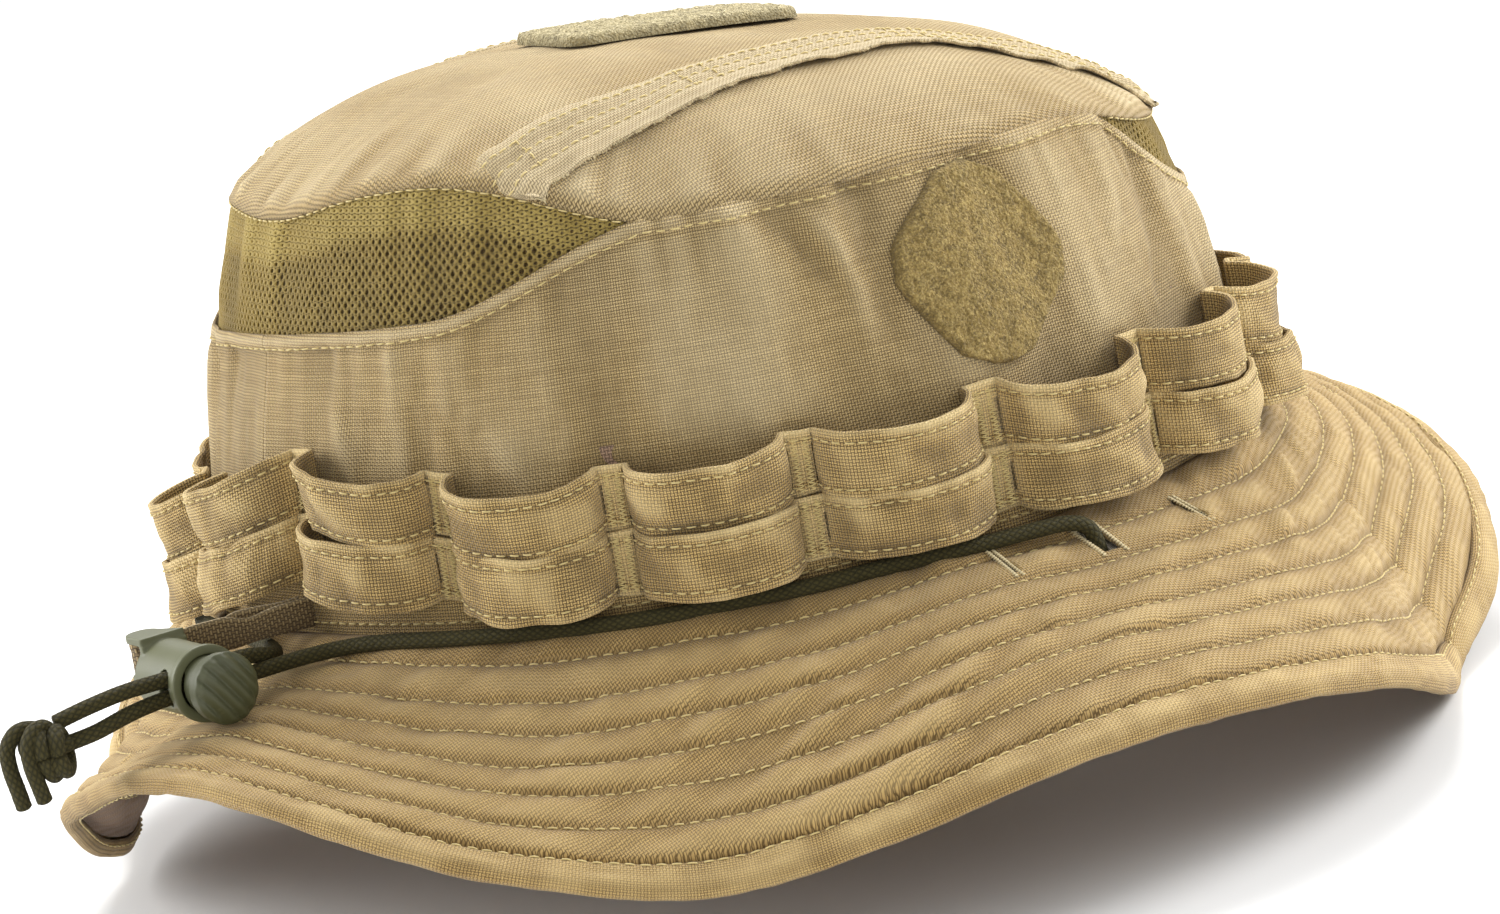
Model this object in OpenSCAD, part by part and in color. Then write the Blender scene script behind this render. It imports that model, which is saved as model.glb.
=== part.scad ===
// Boonie hat: a soft crown with two mesh vents, two rows of foliage loops,
// a wavy stitched brim, and a drawcord that a sprung cord lock holds at the back.
// +X is the front, -Y is the wearer's right, +Z is up, and the hat stands on its brim.

/* [Crown] */
// Outside length of the crown where it meets the brim
crown_length = 200; // [190:1:212]
// Outside width of the crown where it meets the brim
crown_width = 182; // [172:1:188]
// Height of the top seam above the brim seam, at the sides
seam_height = 69; // [64:1:72]
// How much higher the top seam is at the back
back_rise = 12; // [4:1:13]
// How much lower the top seam is at the front
front_drop = 9; // [0:1:10]
// Height of the middle of the top above the brim seam
top_height = 90; // [87:1:94]
// How much the top slopes down towards the front, in mm per mm
top_slope = 0.1; // [0.05:0.01:0.15]
// How far the wall leans in at the top seam, at the sides
side_taper = 14; // [10:1:16]
// How far the wall leans in at the top seam, at the front
front_taper = 8; // [7:1:14]
// How far the wall leans in at the top seam, at the back
back_taper = 15; // [12:1:18]
// Thickness of the crown cloth
cloth = 0.5; // [0.4:0.1:0.6]

/* [Vents and patches] */
// Half of the angle that each mesh vent spans round the crown
vent_half_angle = 57; // [50:1:62]
// Height of the rear vent's lower edge, at its middle
vent_low = 54; // [50:1:56]
// How much lower the front vent's lower edge is
front_vent_drop = 11; // [0:1:14]
// Length of the loop-pile patch on the top
top_patch_length = 51; // [40:1:56]
// Width of the loop-pile patch on the top
top_patch_width = 25; // [20:1:30]
// Height of the side patch, from its blunt foot to its blunt top
side_patch_height = 36; // [28:1:38]
// Width of the side patch
side_patch_width = 37; // [30:1:40]
// Width of the felled straps that cover the two top seams
strap_width = 14; // [10:1:18]

/* [Foliage loops] */
// Width of each of the two loop tapes
tape_width = 11.4; // [10:0.2:11.6]
// How far each loop stands out from the crown
loop_depth = 10; // [6:1:11]
// Width of the bartacked flat between two loops
flat_width = 5; // [4:0.5:7]

/* [Brim] */
// Width of the brim, along the cloth, from the crown to the edge
brim_width = 64; // [58:1:66]
// Width of the binding that wraps the edge of the brim
binding_width = 6; // [4:1:8]

/* [Drawcord and lock] */
// Diameter of the cord
cord_d = 3; // [2.6:0.1:3]
// Outside diameter of the lock's barrel
barrel_d = 13; // [12.6:0.1:13.2]
// Diameter of the bore that the plunger slides in
bore_d = 10.4; // [10.4:0.1:10.8]
// Travel of the plunger
press_travel = 3.5; // [2.5:0.1:3.5]
// Thickness of the plunger's knob
knob_length = 5.5; // [4:0.5:6]
// Height of the webbing tab
tab_height = 5.4; // [4:0.2:5.4]

/* [Hidden] */

// The brim seam's height above the surface, and the shift that centres the hat
stand = [-3.3, 2.1, 56.1];

// Colours
cloth_colour = "#c6b489";
tape_colour = "#b3a072";
mesh_colour = "#94813f";
patch_colour = "#a08d55";
thread_colour = "#cdb878";
under_colour = "#a9987a";
cord_colour = "#3a4229";
lock_colour = "#5f6b50";
steel_colour = "#b8bcc0";

// Exponent of the crown's oval, where 2 is an ellipse
oval_n = 2.1;
// Gap between two layers of cloth
layer_gap = 0.15;
// Segments along each piece
round_steps = 96;
wall_steps = 48;

// ---- Numbers and curves ----

function spow(v, e) = sign(v) * pow(abs(v), e);
function mix(a, b, k) = a + (b - a) * k;
function smooth(v) = let (k = min(1, max(0, v))) k * k * (3 - 2 * k);
function turn(t) = t - 360 * round(t / 360);
function bump(t, at, width) = exp(-pow(turn(t - at) / width, 2));
function sum(v, k = 0) = k == len(v) ? 0 : v[k] + sum(v, k + 1);
function unit(v) = v / norm(v);

// ---- The crown's surface ----

seam_front = crown_length / 2 - front_taper;
seam_back = crown_length / 2 - back_taper;
seam_width = crown_width / 2 - side_taper;
back_dip = 4;
rear_left_dip = 5.5;

function seam_z(t) = seam_height
    + back_rise * smooth((-cos(t) - 0.5) / 0.4)
    - back_dip * bump(t, 180, 15)
    - rear_left_dip * bump(t, 148, 30)
    - front_drop * smooth((cos(t) - 0.35) / 0.5);

// How far the foot of the wall has settled, at the rear left
settled = -5;
function foot_z(t) = settled * bump(t, 152, 22);

// A point of the wall at angle t and height z, grown outward
function wall(t, z, grow = 0) = let (
    k = max(0, z) / seam_z(t),
    a = crown_length / 2 - (cos(t) > 0 ? front_taper : back_taper) * k * k + grow,
    b = crown_width / 2 - side_taper * k * k + grow
) [a * spow(cos(t), 2 / oval_n), b * spow(sin(t), 2 / oval_n), z + foot_z(t) * (1 - k)];

// Outward direction of the oval at angle t, seen from above
function outward(t) = unit([
    spow(cos(t), 2 - 2 / oval_n) / crown_length,
    spow(sin(t), 2 - 2 / oval_n) / crown_width,
    0
]);

function seam_length(x) = x > 0 ? seam_front : seam_back;

// Fraction of the way from the middle of the top to its seam
function spread(x, y) = min(1, pow(
    pow(abs(x) / seam_length(x), oval_n) + pow(abs(y) / seam_width, oval_n), 1 / oval_n));

// The top is a sloping plane that bends down to meet its seam
dome_power = 3.2;
function top_plane(x) = top_height - top_slope * x;
function top_z(x, y) = let (
    t = atan2(spow(y / seam_width, oval_n / 2), spow(x / seam_length(x), oval_n / 2)),
    r = max(0.001, spread(x, y))
) top_plane(x) + (seam_z(t) - top_plane(x / r)) * pow(r, dome_power);

// A point of the top on the straight line that starts on the back seam at angle f.
// Towards the front the lines close in on the middle.
converge = 12;
function top(f, u, lift = 0) = let (
    g = f - converge * sin(2 * f),
    x = mix(-seam_back * spow(cos(f), 2 / oval_n), seam_front * spow(cos(g), 2 / oval_n), u),
    y = seam_width * mix(spow(sin(f), 2 / oval_n), spow(sin(g), 2 / oval_n), u)
) [x, y, top_z(x, y) + lift];

// ---- The brim's surface ----

// Waves of the brim's edge: angle, half width in degrees, height
brim_level = -24;
brim_waves = [
    [-42, 31, -31], [-124, 18, -15], [-162, 17, 14], [12, 16, 5],
    [60, 28, -29], [143, 22, -27], [100, 16, -4]
];
// How strongly the brim drops next to the crown, where 1 is straight
brim_bow = 0.62;
back_bow = 0.9;

function edge_z(t) = brim_level + sum([for (w = brim_waves) w[2] * bump(t, w[0], w[1])]);
function bow(t) = brim_bow + back_bow * bump(t, -168, 30);

// The back edge curls under, so it reaches out less
back_tuck = 0.26;

function brim(t, u, lift = 0) = let (
    drop = edge_z(t),
    tuck = 1 - back_tuck * bump(t, 165, 30),
    reach = 0.985 * tuck * sqrt(brim_width * brim_width - drop * drop),
    p = wall(t, 0) + outward(t) * reach * u,
    k = bow(t)
) [p[0], p[1], p[2] * (1 - u) + drop * (k * u + (1 - k) * u * u) + lift];

// Slots in the brim: angle of each on the right side, and their reach out from the crown
slot_angles = [-72, -84.4, -94];
cord_slot = slot_angles[1];
slot_from = 0.13;
slot_to = 0.27;
slot_half_angle = 1.25;

// Angles of the brim's columns, of which two pairs close in on the cord's slots
slot_column = 25;
function brim_angle(i) =
    i == slot_column ? cord_slot - slot_half_angle
    : i == slot_column + 1 ? cord_slot + slot_half_angle
    : i == round_steps - slot_column - 1 ? -cord_slot - slot_half_angle
    : i == round_steps - slot_column ? -cord_slot + slot_half_angle
    : i * 360 / round_steps - 180;
brim_rows = [0, slot_from, slot_to, 0.47, 0.69, 0.9, 0.97];
function is_slot(i, j) = j == 1 && (i == slot_column || i == round_steps - slot_column - 1);

// ---- Thin solids made of two grids of points ----

function index(i, j, nu, wrap) = j * (wrap ? nu : nu + 1) + (wrap ? i % nu : i);

// Faces of one cell: both skins, and a wall on each side with no neighbour
function cell_faces(i, j, nu, nv, wrap, holes) = let (
    n = (wrap ? nu : nu + 1) * (nv + 1),
    a = index(i, j, nu, wrap), b = index(i + 1, j, nu, wrap),
    c = index(i + 1, j + 1, nu, wrap), d = index(i, j + 1, nu, wrap),
    before = wrap ? (i + nu - 1) % nu : i - 1,
    after = wrap ? (i + 1) % nu : i + 1
) concat(
    [[a, d, c], [a, c, b], [a + n, c + n, d + n], [a + n, b + n, c + n]],
    j == 0 || (holes && is_slot(i, j - 1)) ? [[a, b, b + n], [a, b + n, a + n]] : [],
    j == nv - 1 || (holes && is_slot(i, j + 1)) ? [[c, d, d + n], [c, d + n, c + n]] : [],
    before < 0 || (holes && is_slot(before, j)) ? [[d, a, a + n], [d, a + n, d + n]] : [],
    after > nu - 1 || (holes && is_slot(after, j)) ? [[b, c, c + n], [b, c + n, b + n]] : []
);

// Points and faces of the solid between an outer and an inner grid
function sheet(outer, inner, nu, nv, wrap = false, holes = false) = [
    concat(outer, inner),
    [for (j = [0:nv - 1], i = [0:nu - 1])
        if (!(holes && is_slot(i, j))) each cell_faces(i, j, nu, nv, wrap, holes)]
];

// Several such solids as one group
function group(parts, k = 0, points = [], faces = []) =
    k == len(parts) ? [points, faces]
    : group(parts, k + 1, concat(points, parts[k][0]),
        concat(faces, [for (f = parts[k][1]) [for (v = f) v + len(points)]]));

module shell(data) {
    polyhedron(points = data[0], faces = data[1], convexity = 10);
}

// ---- Tubes that follow a list of points ----

function along(path, i) = unit(path[min(i + 1, len(path) - 1)] - path[max(i - 1, 0)]);
function across(n, d) = unit(n - d * (n * d));

function tube(path, r, sides = 8) = let (
    last = len(path) - 1,
    first = across([0.1, 0.2, 1], along(path, 0)),
    frames = [for (i = 0, n = first; i <= last;
        i = i + 1, n = i <= last ? across(n, along(path, i)) : n) n],
    points = [for (i = [0:last], s = [0:sides - 1]) let (
        d = along(path, i), n = frames[i], m = cross(d, n), a = 360 * s / sides
    ) path[i] + r * (cos(a) * n + sin(a) * m)]
) [
    points,
    concat(
        [for (i = [0:last - 1], s = [0:sides - 1]) let (
            a = i * sides + s, b = i * sides + (s + 1) % sides
        ) each [[a, b + sides, b], [a, a + sides, b + sides]]],
        [[for (s = [0:sides - 1]) s]],
        [[for (s = [0:sides - 1]) last * sides + sides - 1 - s]]
    )
];

// A smooth curve through every point, with one more point between each pair
function smooth_path(p) = [for (i = [0:len(p) - 2]) let (
    a = p[max(i - 1, 0)], b = p[i], c = p[i + 1], d = p[min(i + 2, len(p) - 1)]
) each [b, (9 * (b + c) - a - d) / 16]];
function smoothed(p) = concat(smooth_path(p), [p[len(p) - 1]]);

// ---- Crown ----

strap_angle = 39;
// Angle that the strap's half width spans
strap_half = strap_width / seam_width * 30;

module top_part(f0, f1, nf, nu, lift, thick) {
    nodes_out = [for (j = [0:nf], i = [0:nu]) top(mix(f0, f1, j / nf), i / nu, lift)];
    nodes_in = [for (j = [0:nf], i = [0:nu]) top(mix(f0, f1, j / nf), i / nu, lift - thick)];
    shell(sheet(nodes_out, nodes_in, nu, nf));
}

gap_angle = 0.15;
module crown_top_centre() {
    color(cloth_colour)
        top_part(-strap_angle + gap_angle, strap_angle - gap_angle, 6, 16, 0, cloth);
}

// A side part's outermost line stops just short of the seam's widest point
widest = 86;
module crown_top_side(right) {
    color(cloth_colour) if (right) top_part(-widest, -strap_angle, 6, 16, 0, cloth);
    else top_part(strap_angle, widest, 6, 16, 0, cloth);
}

module top_strap(right) {
    middle = right ? -strap_angle : strap_angle;
    color(cloth_colour)
        top_part(middle - strap_half, middle + strap_half, 2, 16, layer_gap + 0.6, 0.6);
}

// Lower edge of the vents at angle d from the middle of a vent. Its outer halves curve up.
function vent_edge(t, d) = let (
    aside = abs(d) / vent_half_angle,
    low = vent_low - (cos(t) > 0 ? front_vent_drop : 0) + 0.06 * d + 1.5 * aside * aside,
    k = pow(max(0, min(1, 2 * aside - 1)), 2)
) mix(low, seam_z(t) - cloth - 0.2, k);

function panel_top(t) =
    abs(turn(t)) < vent_half_angle ? vent_edge(t, -turn(t)) - 0.3
    : abs(turn(t - 180)) < vent_half_angle ? vent_edge(t, turn(t - 180)) - 0.3
    : seam_z(t) - 0.7;

module side_panel(right) {
    rows = 4;
    from = right ? -179.9 : 0.1;
    function at(i, j, grow) = let (
        t = from + i * 179.8 / wall_steps
    ) wall(t, mix(0.3, panel_top(t), j / rows), grow);
    color(cloth_colour) shell(sheet(
        [for (j = [0:rows], i = [0:wall_steps]) at(i, j, 0)],
        [for (j = [0:rows], i = [0:wall_steps]) at(i, j, -cloth)],
        wall_steps, rows));
}

// A mesh vent, from its lower edge to the top seam
module mesh_vent(middle) {
    steps = 28;
    rows = 2;
    side = middle == 0 ? -1 : 1;
    function at(i, j, grow) = let (
        d = mix(-1, 1, i / steps) * (vent_half_angle - 1.5),
        t = middle + d
    ) wall(t, mix(vent_edge(t, side * d), seam_z(t) - cloth - 0.1, j / rows), grow);
    color(mesh_colour) shell(sheet(
        [for (j = [0:rows], i = [0:steps]) at(i, j, 0)],
        [for (j = [0:rows], i = [0:steps]) at(i, j, -cloth)],
        steps, rows));
}

patch_thick = 1.8;
patch_corner = 5;

// Half width of a rounded rectangle at distance v from its middle, both from -1 to 1
function rounded(v, half, other, corner) = let (
    over = max(0, abs(v) * half - (half - corner))
) other - corner + sqrt(corner * corner - over * over);

module top_patch() {
    nu = 16;
    nv = 4;
    half = top_patch_length / 2;
    function at(i, j, lift) = let (
        s = mix(-0.995, 0.995, i / nu),
        w = rounded(s, half, top_patch_width / 2, patch_corner),
        x = s * half,
        y = mix(-w, w, j / nv)
    ) [x, y, top_z(x, y) + lift];
    color(patch_colour) shell(sheet(
        [for (j = [0:nv], i = [0:nu]) at(i, j, patch_thick)],
        [for (j = [0:nv], i = [0:nu]) at(i, j, layer_gap)],
        nu, nv));
}

// The side patch is a diamond with blunt corners. v runs from -1 at its foot to 1 at its top.
side_patch_angle = -85;
side_patch_z = 48;
side_patch_tilt = 10;
blunt_side = 0.12;
blunt_point = 0.27;
function patch_half(v) = side_patch_width / 2
    * mix(1, blunt_point, max(0, (abs(v) - blunt_side) / (1 - blunt_side)));

module side_patch() {
    nu = 6;
    nv = 12;
    flat_side = 0.93;
    degrees_per_mm = 180 / (PI * crown_width / 2) * flat_side;
    function at(i, j, grow) = let (
        v = mix(-1, 1, j / nv),
        up = v * side_patch_height / 2,
        across = mix(-1, 1, i / nu) * patch_half(v),
        z = side_patch_z + up * cos(side_patch_tilt) - across * sin(side_patch_tilt),
        along = across * cos(side_patch_tilt) + up * sin(side_patch_tilt),
        t = side_patch_angle + along * degrees_per_mm
    ) wall(t, min(z, seam_z(t) - 1), grow);
    color(patch_colour) shell(sheet(
        [for (j = [0:nv], i = [0:nu]) at(i, j, patch_thick)],
        [for (j = [0:nv], i = [0:nu]) at(i, j, layer_gap)],
        nu, nv));
}

// A plain band round the wall, between two heights and two distances from it
module band(low, high, inside, outside) {
    function at(i, z, grow) = wall(i * 360 / round_steps, z, grow);
    steps = [for (i = [0:round_steps - 1]) i];
    shell(sheet(
        concat([for (i = steps) at(i, low, outside)], [for (i = steps) at(i, high, outside)]),
        concat([for (i = steps) at(i, low, inside)], [for (i = steps) at(i, high, inside)]),
        round_steps, 1, true));
}

module base_band() {
    color(tape_colour) band(1.5, 10.5, layer_gap, layer_gap + 0.5);
}

module sweatband() {
    color(under_colour) band(-1, 31, -cloth - 2, -cloth - 0.8);
}

// ---- Foliage loops ----

station = 20;
tape_thick = 0.8;
tape_offset = 1.2;
tape_low = 5;
tape_pitch = 11.7;
flat_half_angle = flat_width / crown_length * 180 / PI;
tape_arc_steps = 8;

// The tapes run a little higher past the webbing tab, and sag beyond it and at the front
function tape_rise(t) = 7 * bump(t, -168, 17) - 2 * bump(t, 150, 18) - 3 * bump(t, -10, 20);

// The loops at the front and at the rear left are pressed flatter than the rest
function loop_out(c) = loop_depth * (1 - 0.6 * bump(c, 140, 14) - 0.5 * bump(c, -12, 20));

// Plan angle and distance from the wall of a loop's points, for a station at angle c
function loop_points(c) = [for (k = [0:tape_arc_steps]) let (
    a = 180 * k / tape_arc_steps,
    half = station / 2 - flat_half_angle
) [c - half * cos(a), loop_out(c) * sin(a)]];

// One sector holds three loops, and ends half way along a flat at each end
function sector_points(c) = concat(
    [[c - 1.5 * station, 0]],
    [for (k = [-1:1]) each loop_points(c + k * station)],
    [[c + 1.5 * station, 0]]
);

function side_step(p, q) = let (d = unit([q[0] - p[0], q[1] - p[1], 0])) [d[1], -d[0], 0];

// The tape's cloth at height z, moved sideways by half its thickness
function tape_line(points, z, side) = let (
    line = [for (p = points) wall(p[0], z + tape_rise(p[0]), tape_offset)
        + outward(p[0]) * p[1]],
    last = len(line) - 1
) [for (i = [0:last]) line[i]
    + side_step(line[max(0, i - 1)], line[min(last, i + 1)]) * side * tape_thick / 2];

module tape_sector(c, low) {
    points = sector_points(c);
    color(tape_colour) shell(sheet(
        concat(tape_line(points, low, 1), tape_line(points, low + tape_width, 1)),
        concat(tape_line(points, low, -1), tape_line(points, low + tape_width, -1)),
        len(points) - 1, 1));
}

module foliage(upper, sector) {
    tape_sector(60 * sector, tape_low + (upper ? tape_pitch : 0));
}

// Zigzag bars on every flat, one over each tape
module loop_bartacks() {
    half = flat_half_angle * 0.6;
    function bar(t, z) = let (
        low = z + 0.8 + tape_rise(t),
        high = z + tape_width - 0.8 + tape_rise(t),
        g = tape_offset + tape_thick / 2 + 0.15
    ) sheet(
        [wall(t - half, low, g + 0.5), wall(t + half, low, g + 0.5),
         wall(t - half, high, g + 0.5), wall(t + half, high, g + 0.5)],
        [wall(t - half, low, g), wall(t + half, low, g),
         wall(t - half, high, g), wall(t + half, high, g)], 1, 1);
    color(thread_colour) shell(group(
        [for (k = [0:17], row = [0:1]) bar(k * station + station / 2, tape_low + row * tape_pitch)]));
}

// ---- Brim ----

module brim_layer(high, low) {
    nv = len(brim_rows) - 1;
    steps = [for (i = [0:round_steps - 1]) brim_angle(i)];
    shell(sheet(
        [for (u = brim_rows) each [for (t = steps) brim(t, u + 0.006, low)]],
        [for (u = brim_rows) each [for (t = steps) brim(t, u + 0.006, high)]],
        round_steps, nv, true, true));
}

ply = 0.6;
core = 0.8;
binding_gap = 0.35;
module brim_top_fabric() {
    color(cloth_colour) brim_layer(core / 2 + layer_gap + ply, core / 2 + layer_gap);
}
module brim_interlining() {
    color("#d8d0b8") brim_layer(core / 2, -core / 2);
}
module brim_under_fabric() {
    color(under_colour) brim_layer(-core / 2 - layer_gap, -core / 2 - layer_gap - ply);
}

// The binding is a folded strip round the edge, open towards the crown
module brim_edge_binding() {
    inner = core / 2 + layer_gap + ply + binding_gap;
    outer = inner + ply;
    back = 1 - binding_width / brim_width;
    outline_out = [[back, outer], [0.98, outer], [1.0, 0.6 * outer], [1.008, 0],
        [1.0, -0.6 * outer], [0.98, -outer], [back, -outer]];
    outline_in = [[back, inner], [0.98, inner], [0.989, 0.6 * inner], [0.993, 0],
        [0.989, -0.6 * inner], [0.98, -inner], [back, -inner]];
    steps = [for (i = [0:round_steps - 1]) brim_angle(i)];
    color(cloth_colour) shell(sheet(
        [for (q = outline_in) each [for (t = steps) brim(t, q[0], q[1])]],
        [for (q = outline_out) each [for (t = steps) brim(t, q[0], q[1])]],
        round_steps, len(outline_out) - 1, true));
}

// Two stitched bars beside each of the three slots on each side
module buttonhole_stitching() {
    lift = core / 2 + layer_gap + ply + 0.15;
    function bar(t0, t1) = sheet(
        [brim(t0, slot_from, lift), brim(t1, slot_from, lift),
         brim(t0, slot_to, lift), brim(t1, slot_to, lift)],
        [brim(t0, slot_from, lift + 0.5), brim(t1, slot_from, lift + 0.5),
         brim(t0, slot_to, lift + 0.5), brim(t1, slot_to, lift + 0.5)], 1, 1);
    color(thread_colour) shell(group([
        for (t = slot_angles, side = [-1, 1], edge = [-1, 1]) let (
            c = side * t,
            inner_edge = slot_half_angle + 0.05,
            outer_edge = slot_half_angle + 0.75
        ) edge < 0 ? bar(c - outer_edge, c - inner_edge) : bar(c + inner_edge, c + outer_edge)
    ]));
}

// ---- Cord lock ----

// The barrel's axis runs along Y; the cords cross it along X, one above the other
lock_x = -131;
lock_z = 1.8;
rim_y = -31;
cord_y = -26;
end_y = -16;
wall_end = 1.5;
cord_spacing = 3.4;
post_x = -132.5;
post_y = -10.8;
tab_z = 2.2;
knob_gap = press_travel + 0.5;
fit_gap = 0.08;

module along_y(x, z, y0, y1, r) {
    translate([x, y0, z]) rotate([-90, 0, 0]) cylinder(h = y1 - y0, r = r, $fn = 48);
}

// Clearance for the two cords, as long as given along Y
module cord_way(y0, y1, reach) {
    r = cord_d / 2 + 0.2;
    for (y = [y0 + r, y1 - r], side = [-1, 1])
        translate([lock_x - reach, y, lock_z + side * cord_spacing / 2])
            rotate([0, 90, 0]) cylinder(h = 2 * reach, r = r, $fn = 24);
    translate([lock_x - reach, y0, lock_z - cord_spacing / 2])
        cube([2 * reach, y1 - y0, cord_spacing]);
    translate([lock_x - reach, y0 + r, lock_z - cord_spacing / 2 - r])
        cube([2 * reach, max(0.01, y1 - y0 - 2 * r), cord_spacing + 2 * r]);
}

arm_thick = 1.4;
module lock_arm(z) {
    translate([0, 0, z]) linear_extrude(arm_thick) union() {
        translate([post_x, post_y]) circle(r = 3.2, $fn = 32);
        polygon([[post_x - 3.2, post_y], [lock_x - 4.5, end_y + 0.4],
            [lock_x + 4.5, end_y + 0.4], [post_x + 3.2, post_y]]);
    }
}

module lock_housing() {
    r = cord_d / 2 + 0.2;
    color(lock_colour) difference() {
        union() {
            along_y(lock_x, lock_z, rim_y, end_y + wall_end, barrel_d / 2);
            along_y(lock_x, lock_z, rim_y, rim_y + 1.6, barrel_d / 2 + 0.5);
            lock_arm(tab_z - 0.3 - arm_thick);
            lock_arm(tab_z + tab_height + 0.3);
            translate([lock_x - 4.5, end_y, tab_z - 0.3])
                cube([9, wall_end, tab_height + 0.6]);
            translate([post_x, post_y, tab_z - 0.5])
                cylinder(h = tab_height + 1, r = 1.3, $fn = 24);
        }
        along_y(lock_x, lock_z, rim_y - 1, end_y, bore_d / 2);
        cord_way(cord_y - r, cord_y + r, 10);
    }
}

module lock_plunger() {
    r = cord_d / 2 + 0.2;
    stem_r = bore_d / 2 - fit_gap;
    knob_y = rim_y - knob_gap;
    stem_end = cord_y + r + 1.9;
    color(lock_colour) difference() {
        union() {
            along_y(lock_x, lock_z, knob_y - 0.1, stem_end, stem_r);
            translate([lock_x, knob_y, lock_z]) rotate([90, 0, 0])
                rotate_extrude($fn = 48) polygon([[0, 0], [5.6, 0], [6.2, 0.7], [6.2, 3.4],
                    [5.3, knob_length - 0.9], [3.4, knob_length - 0.2], [0, knob_length]]);
        }
        cord_way(cord_y - r - press_travel - 0.1, cord_y + r, 10);
    }
}

spring_wire = 0.6;
spring_turns = 3;
spring_height = end_y - (cord_y + cord_d / 2 + 0.2 + 1.9) - press_travel - 0.4;
module lock_spring() {
    steps = 14 * spring_turns;
    r = 3.6;
    rise = spring_height - spring_wire - 0.1;
    path = [for (i = [0:steps]) let (a = 360 * i / 14) [
        lock_x + r * cos(a), end_y - 0.05 - spring_wire / 2 - rise * i / steps, lock_z + r * sin(a)]];
    color(steel_colour) shell(tube(path, spring_wire / 2, 6));
}

// The tab is one strip of webbing, folded round the lock's post and sewn to the crown
module webbing_tab() {
    root_x = -99.6;
    root_y = -12.8;
    length = norm([post_x - root_x, post_y - root_y]);
    lean = atan2(post_y - root_y, post_x - root_x);
    color(cloth_colour) translate([0, 0, tab_z]) linear_extrude(tab_height) difference() {
        union() {
            translate([root_x, root_y]) rotate(lean)
                translate([1.4, -1]) square([length - 1.4, 2]);
            translate([post_x, post_y]) circle(r = 2.6, $fn = 32);
        }
        translate([post_x, post_y]) circle(r = 1.5, $fn = 32);
    }
}

// ---- Drawcord ----

// Routes of the two strands, from the lock round the foot of the crown to the slot
right_route = [
    [-124, -26, 0.1], [-119, -26, 0.1], [-112, -27, 0.4], [-105, -30, 0.8], [-100, -36, 1.3],
    [-95, -45, 1.5], [-89, -54, 1.4], [-81, -63, 1.2], [-72, -71, 1], [-62, -78, 1],
    [-51, -84, 1.2], [-40, -89, 1.3], [-29, -92, 1.5], [-18, -95, 1.5], [-7, -98, 1.6],
    [2, -100, 1.7], [7.5, -101, 1.4], [10.8, -101.8, -0.2], [12, -102.3, -4], [12, -102.4, -9.5]
];
left_route = [
    [-124, -26, 3.5], [-120, -25.5, 3.2], [-115, -23, 1.8], [-111, -18, 0.5], [-108.5, -11, 0.2],
    [-107, -3, 0], [-106, 6, 0], [-105, 16, -0.4], [-102, 27, -1.5], [-98, 38, -3],
    [-92, 49, -3.8], [-84, 60, -3.4], [-74, 69, -2.1], [-63, 77, -0.3], [-51, 84, 0.8],
    [-38, 90, 1.3], [-24, 94, 1.4], [-9, 98, 1.6], [2, 100, 1.7], [7.5, 101, 1.4],
    [10.8, 101.8, -0.2], [12, 102.3, -5], [12, 102.4, -10.8]
];
// Routes of the two tails, from inside the lock to the knot
upper_tail_route = [
    [-124.3, -26, 3.5], [-131, -26, 3.5], [-138, -26, 3.5], [-145, -25.6, 3.4],
    [-152, -24.5, 2.4], [-158, -23, 1]
];
lower_tail_route = [
    [-124.3, -26, 0.1], [-131, -26, 0.1], [-138, -26, 0.1], [-145, -26.4, -0.5],
    [-152, -26, -2], [-158, -24, -3]
];

module drawcord(route) {
    color(cord_colour) shell(tube(smoothed(route), cord_d / 2));
}
module cord_tail(route) {
    color(cord_colour) shell(tube(route, cord_d / 2));
}

// An overhand knot that keeps the strand from pulling up through its slot
stopper_r = 3.8;
stopper_drop = 6.7;
module stopper_knot(side) {
    brim_middle = brim(-side * cord_slot, (slot_from + slot_to) / 2)[2];
    underside = brim_middle - core / 2 - layer_gap - ply;
    color(cord_colour) translate([12, side * 102.4, underside - stopper_drop])
        sphere(r = stopper_r, $fn = 32);
}

knot_r = 7;
module tail_knot() {
    centre = [-162.5, -23.5, -3.5];
    color(cord_colour) union() {
        translate(centre) sphere(r = knot_r, $fn = 32);
        for (side = [-1, 1]) translate(centre + [side * 2, side * 2, -knot_r - 3])
            cylinder(h = knot_r, r = cord_d / 2, $fn = 24);
    }
}

// ---- The hat ----

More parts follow.
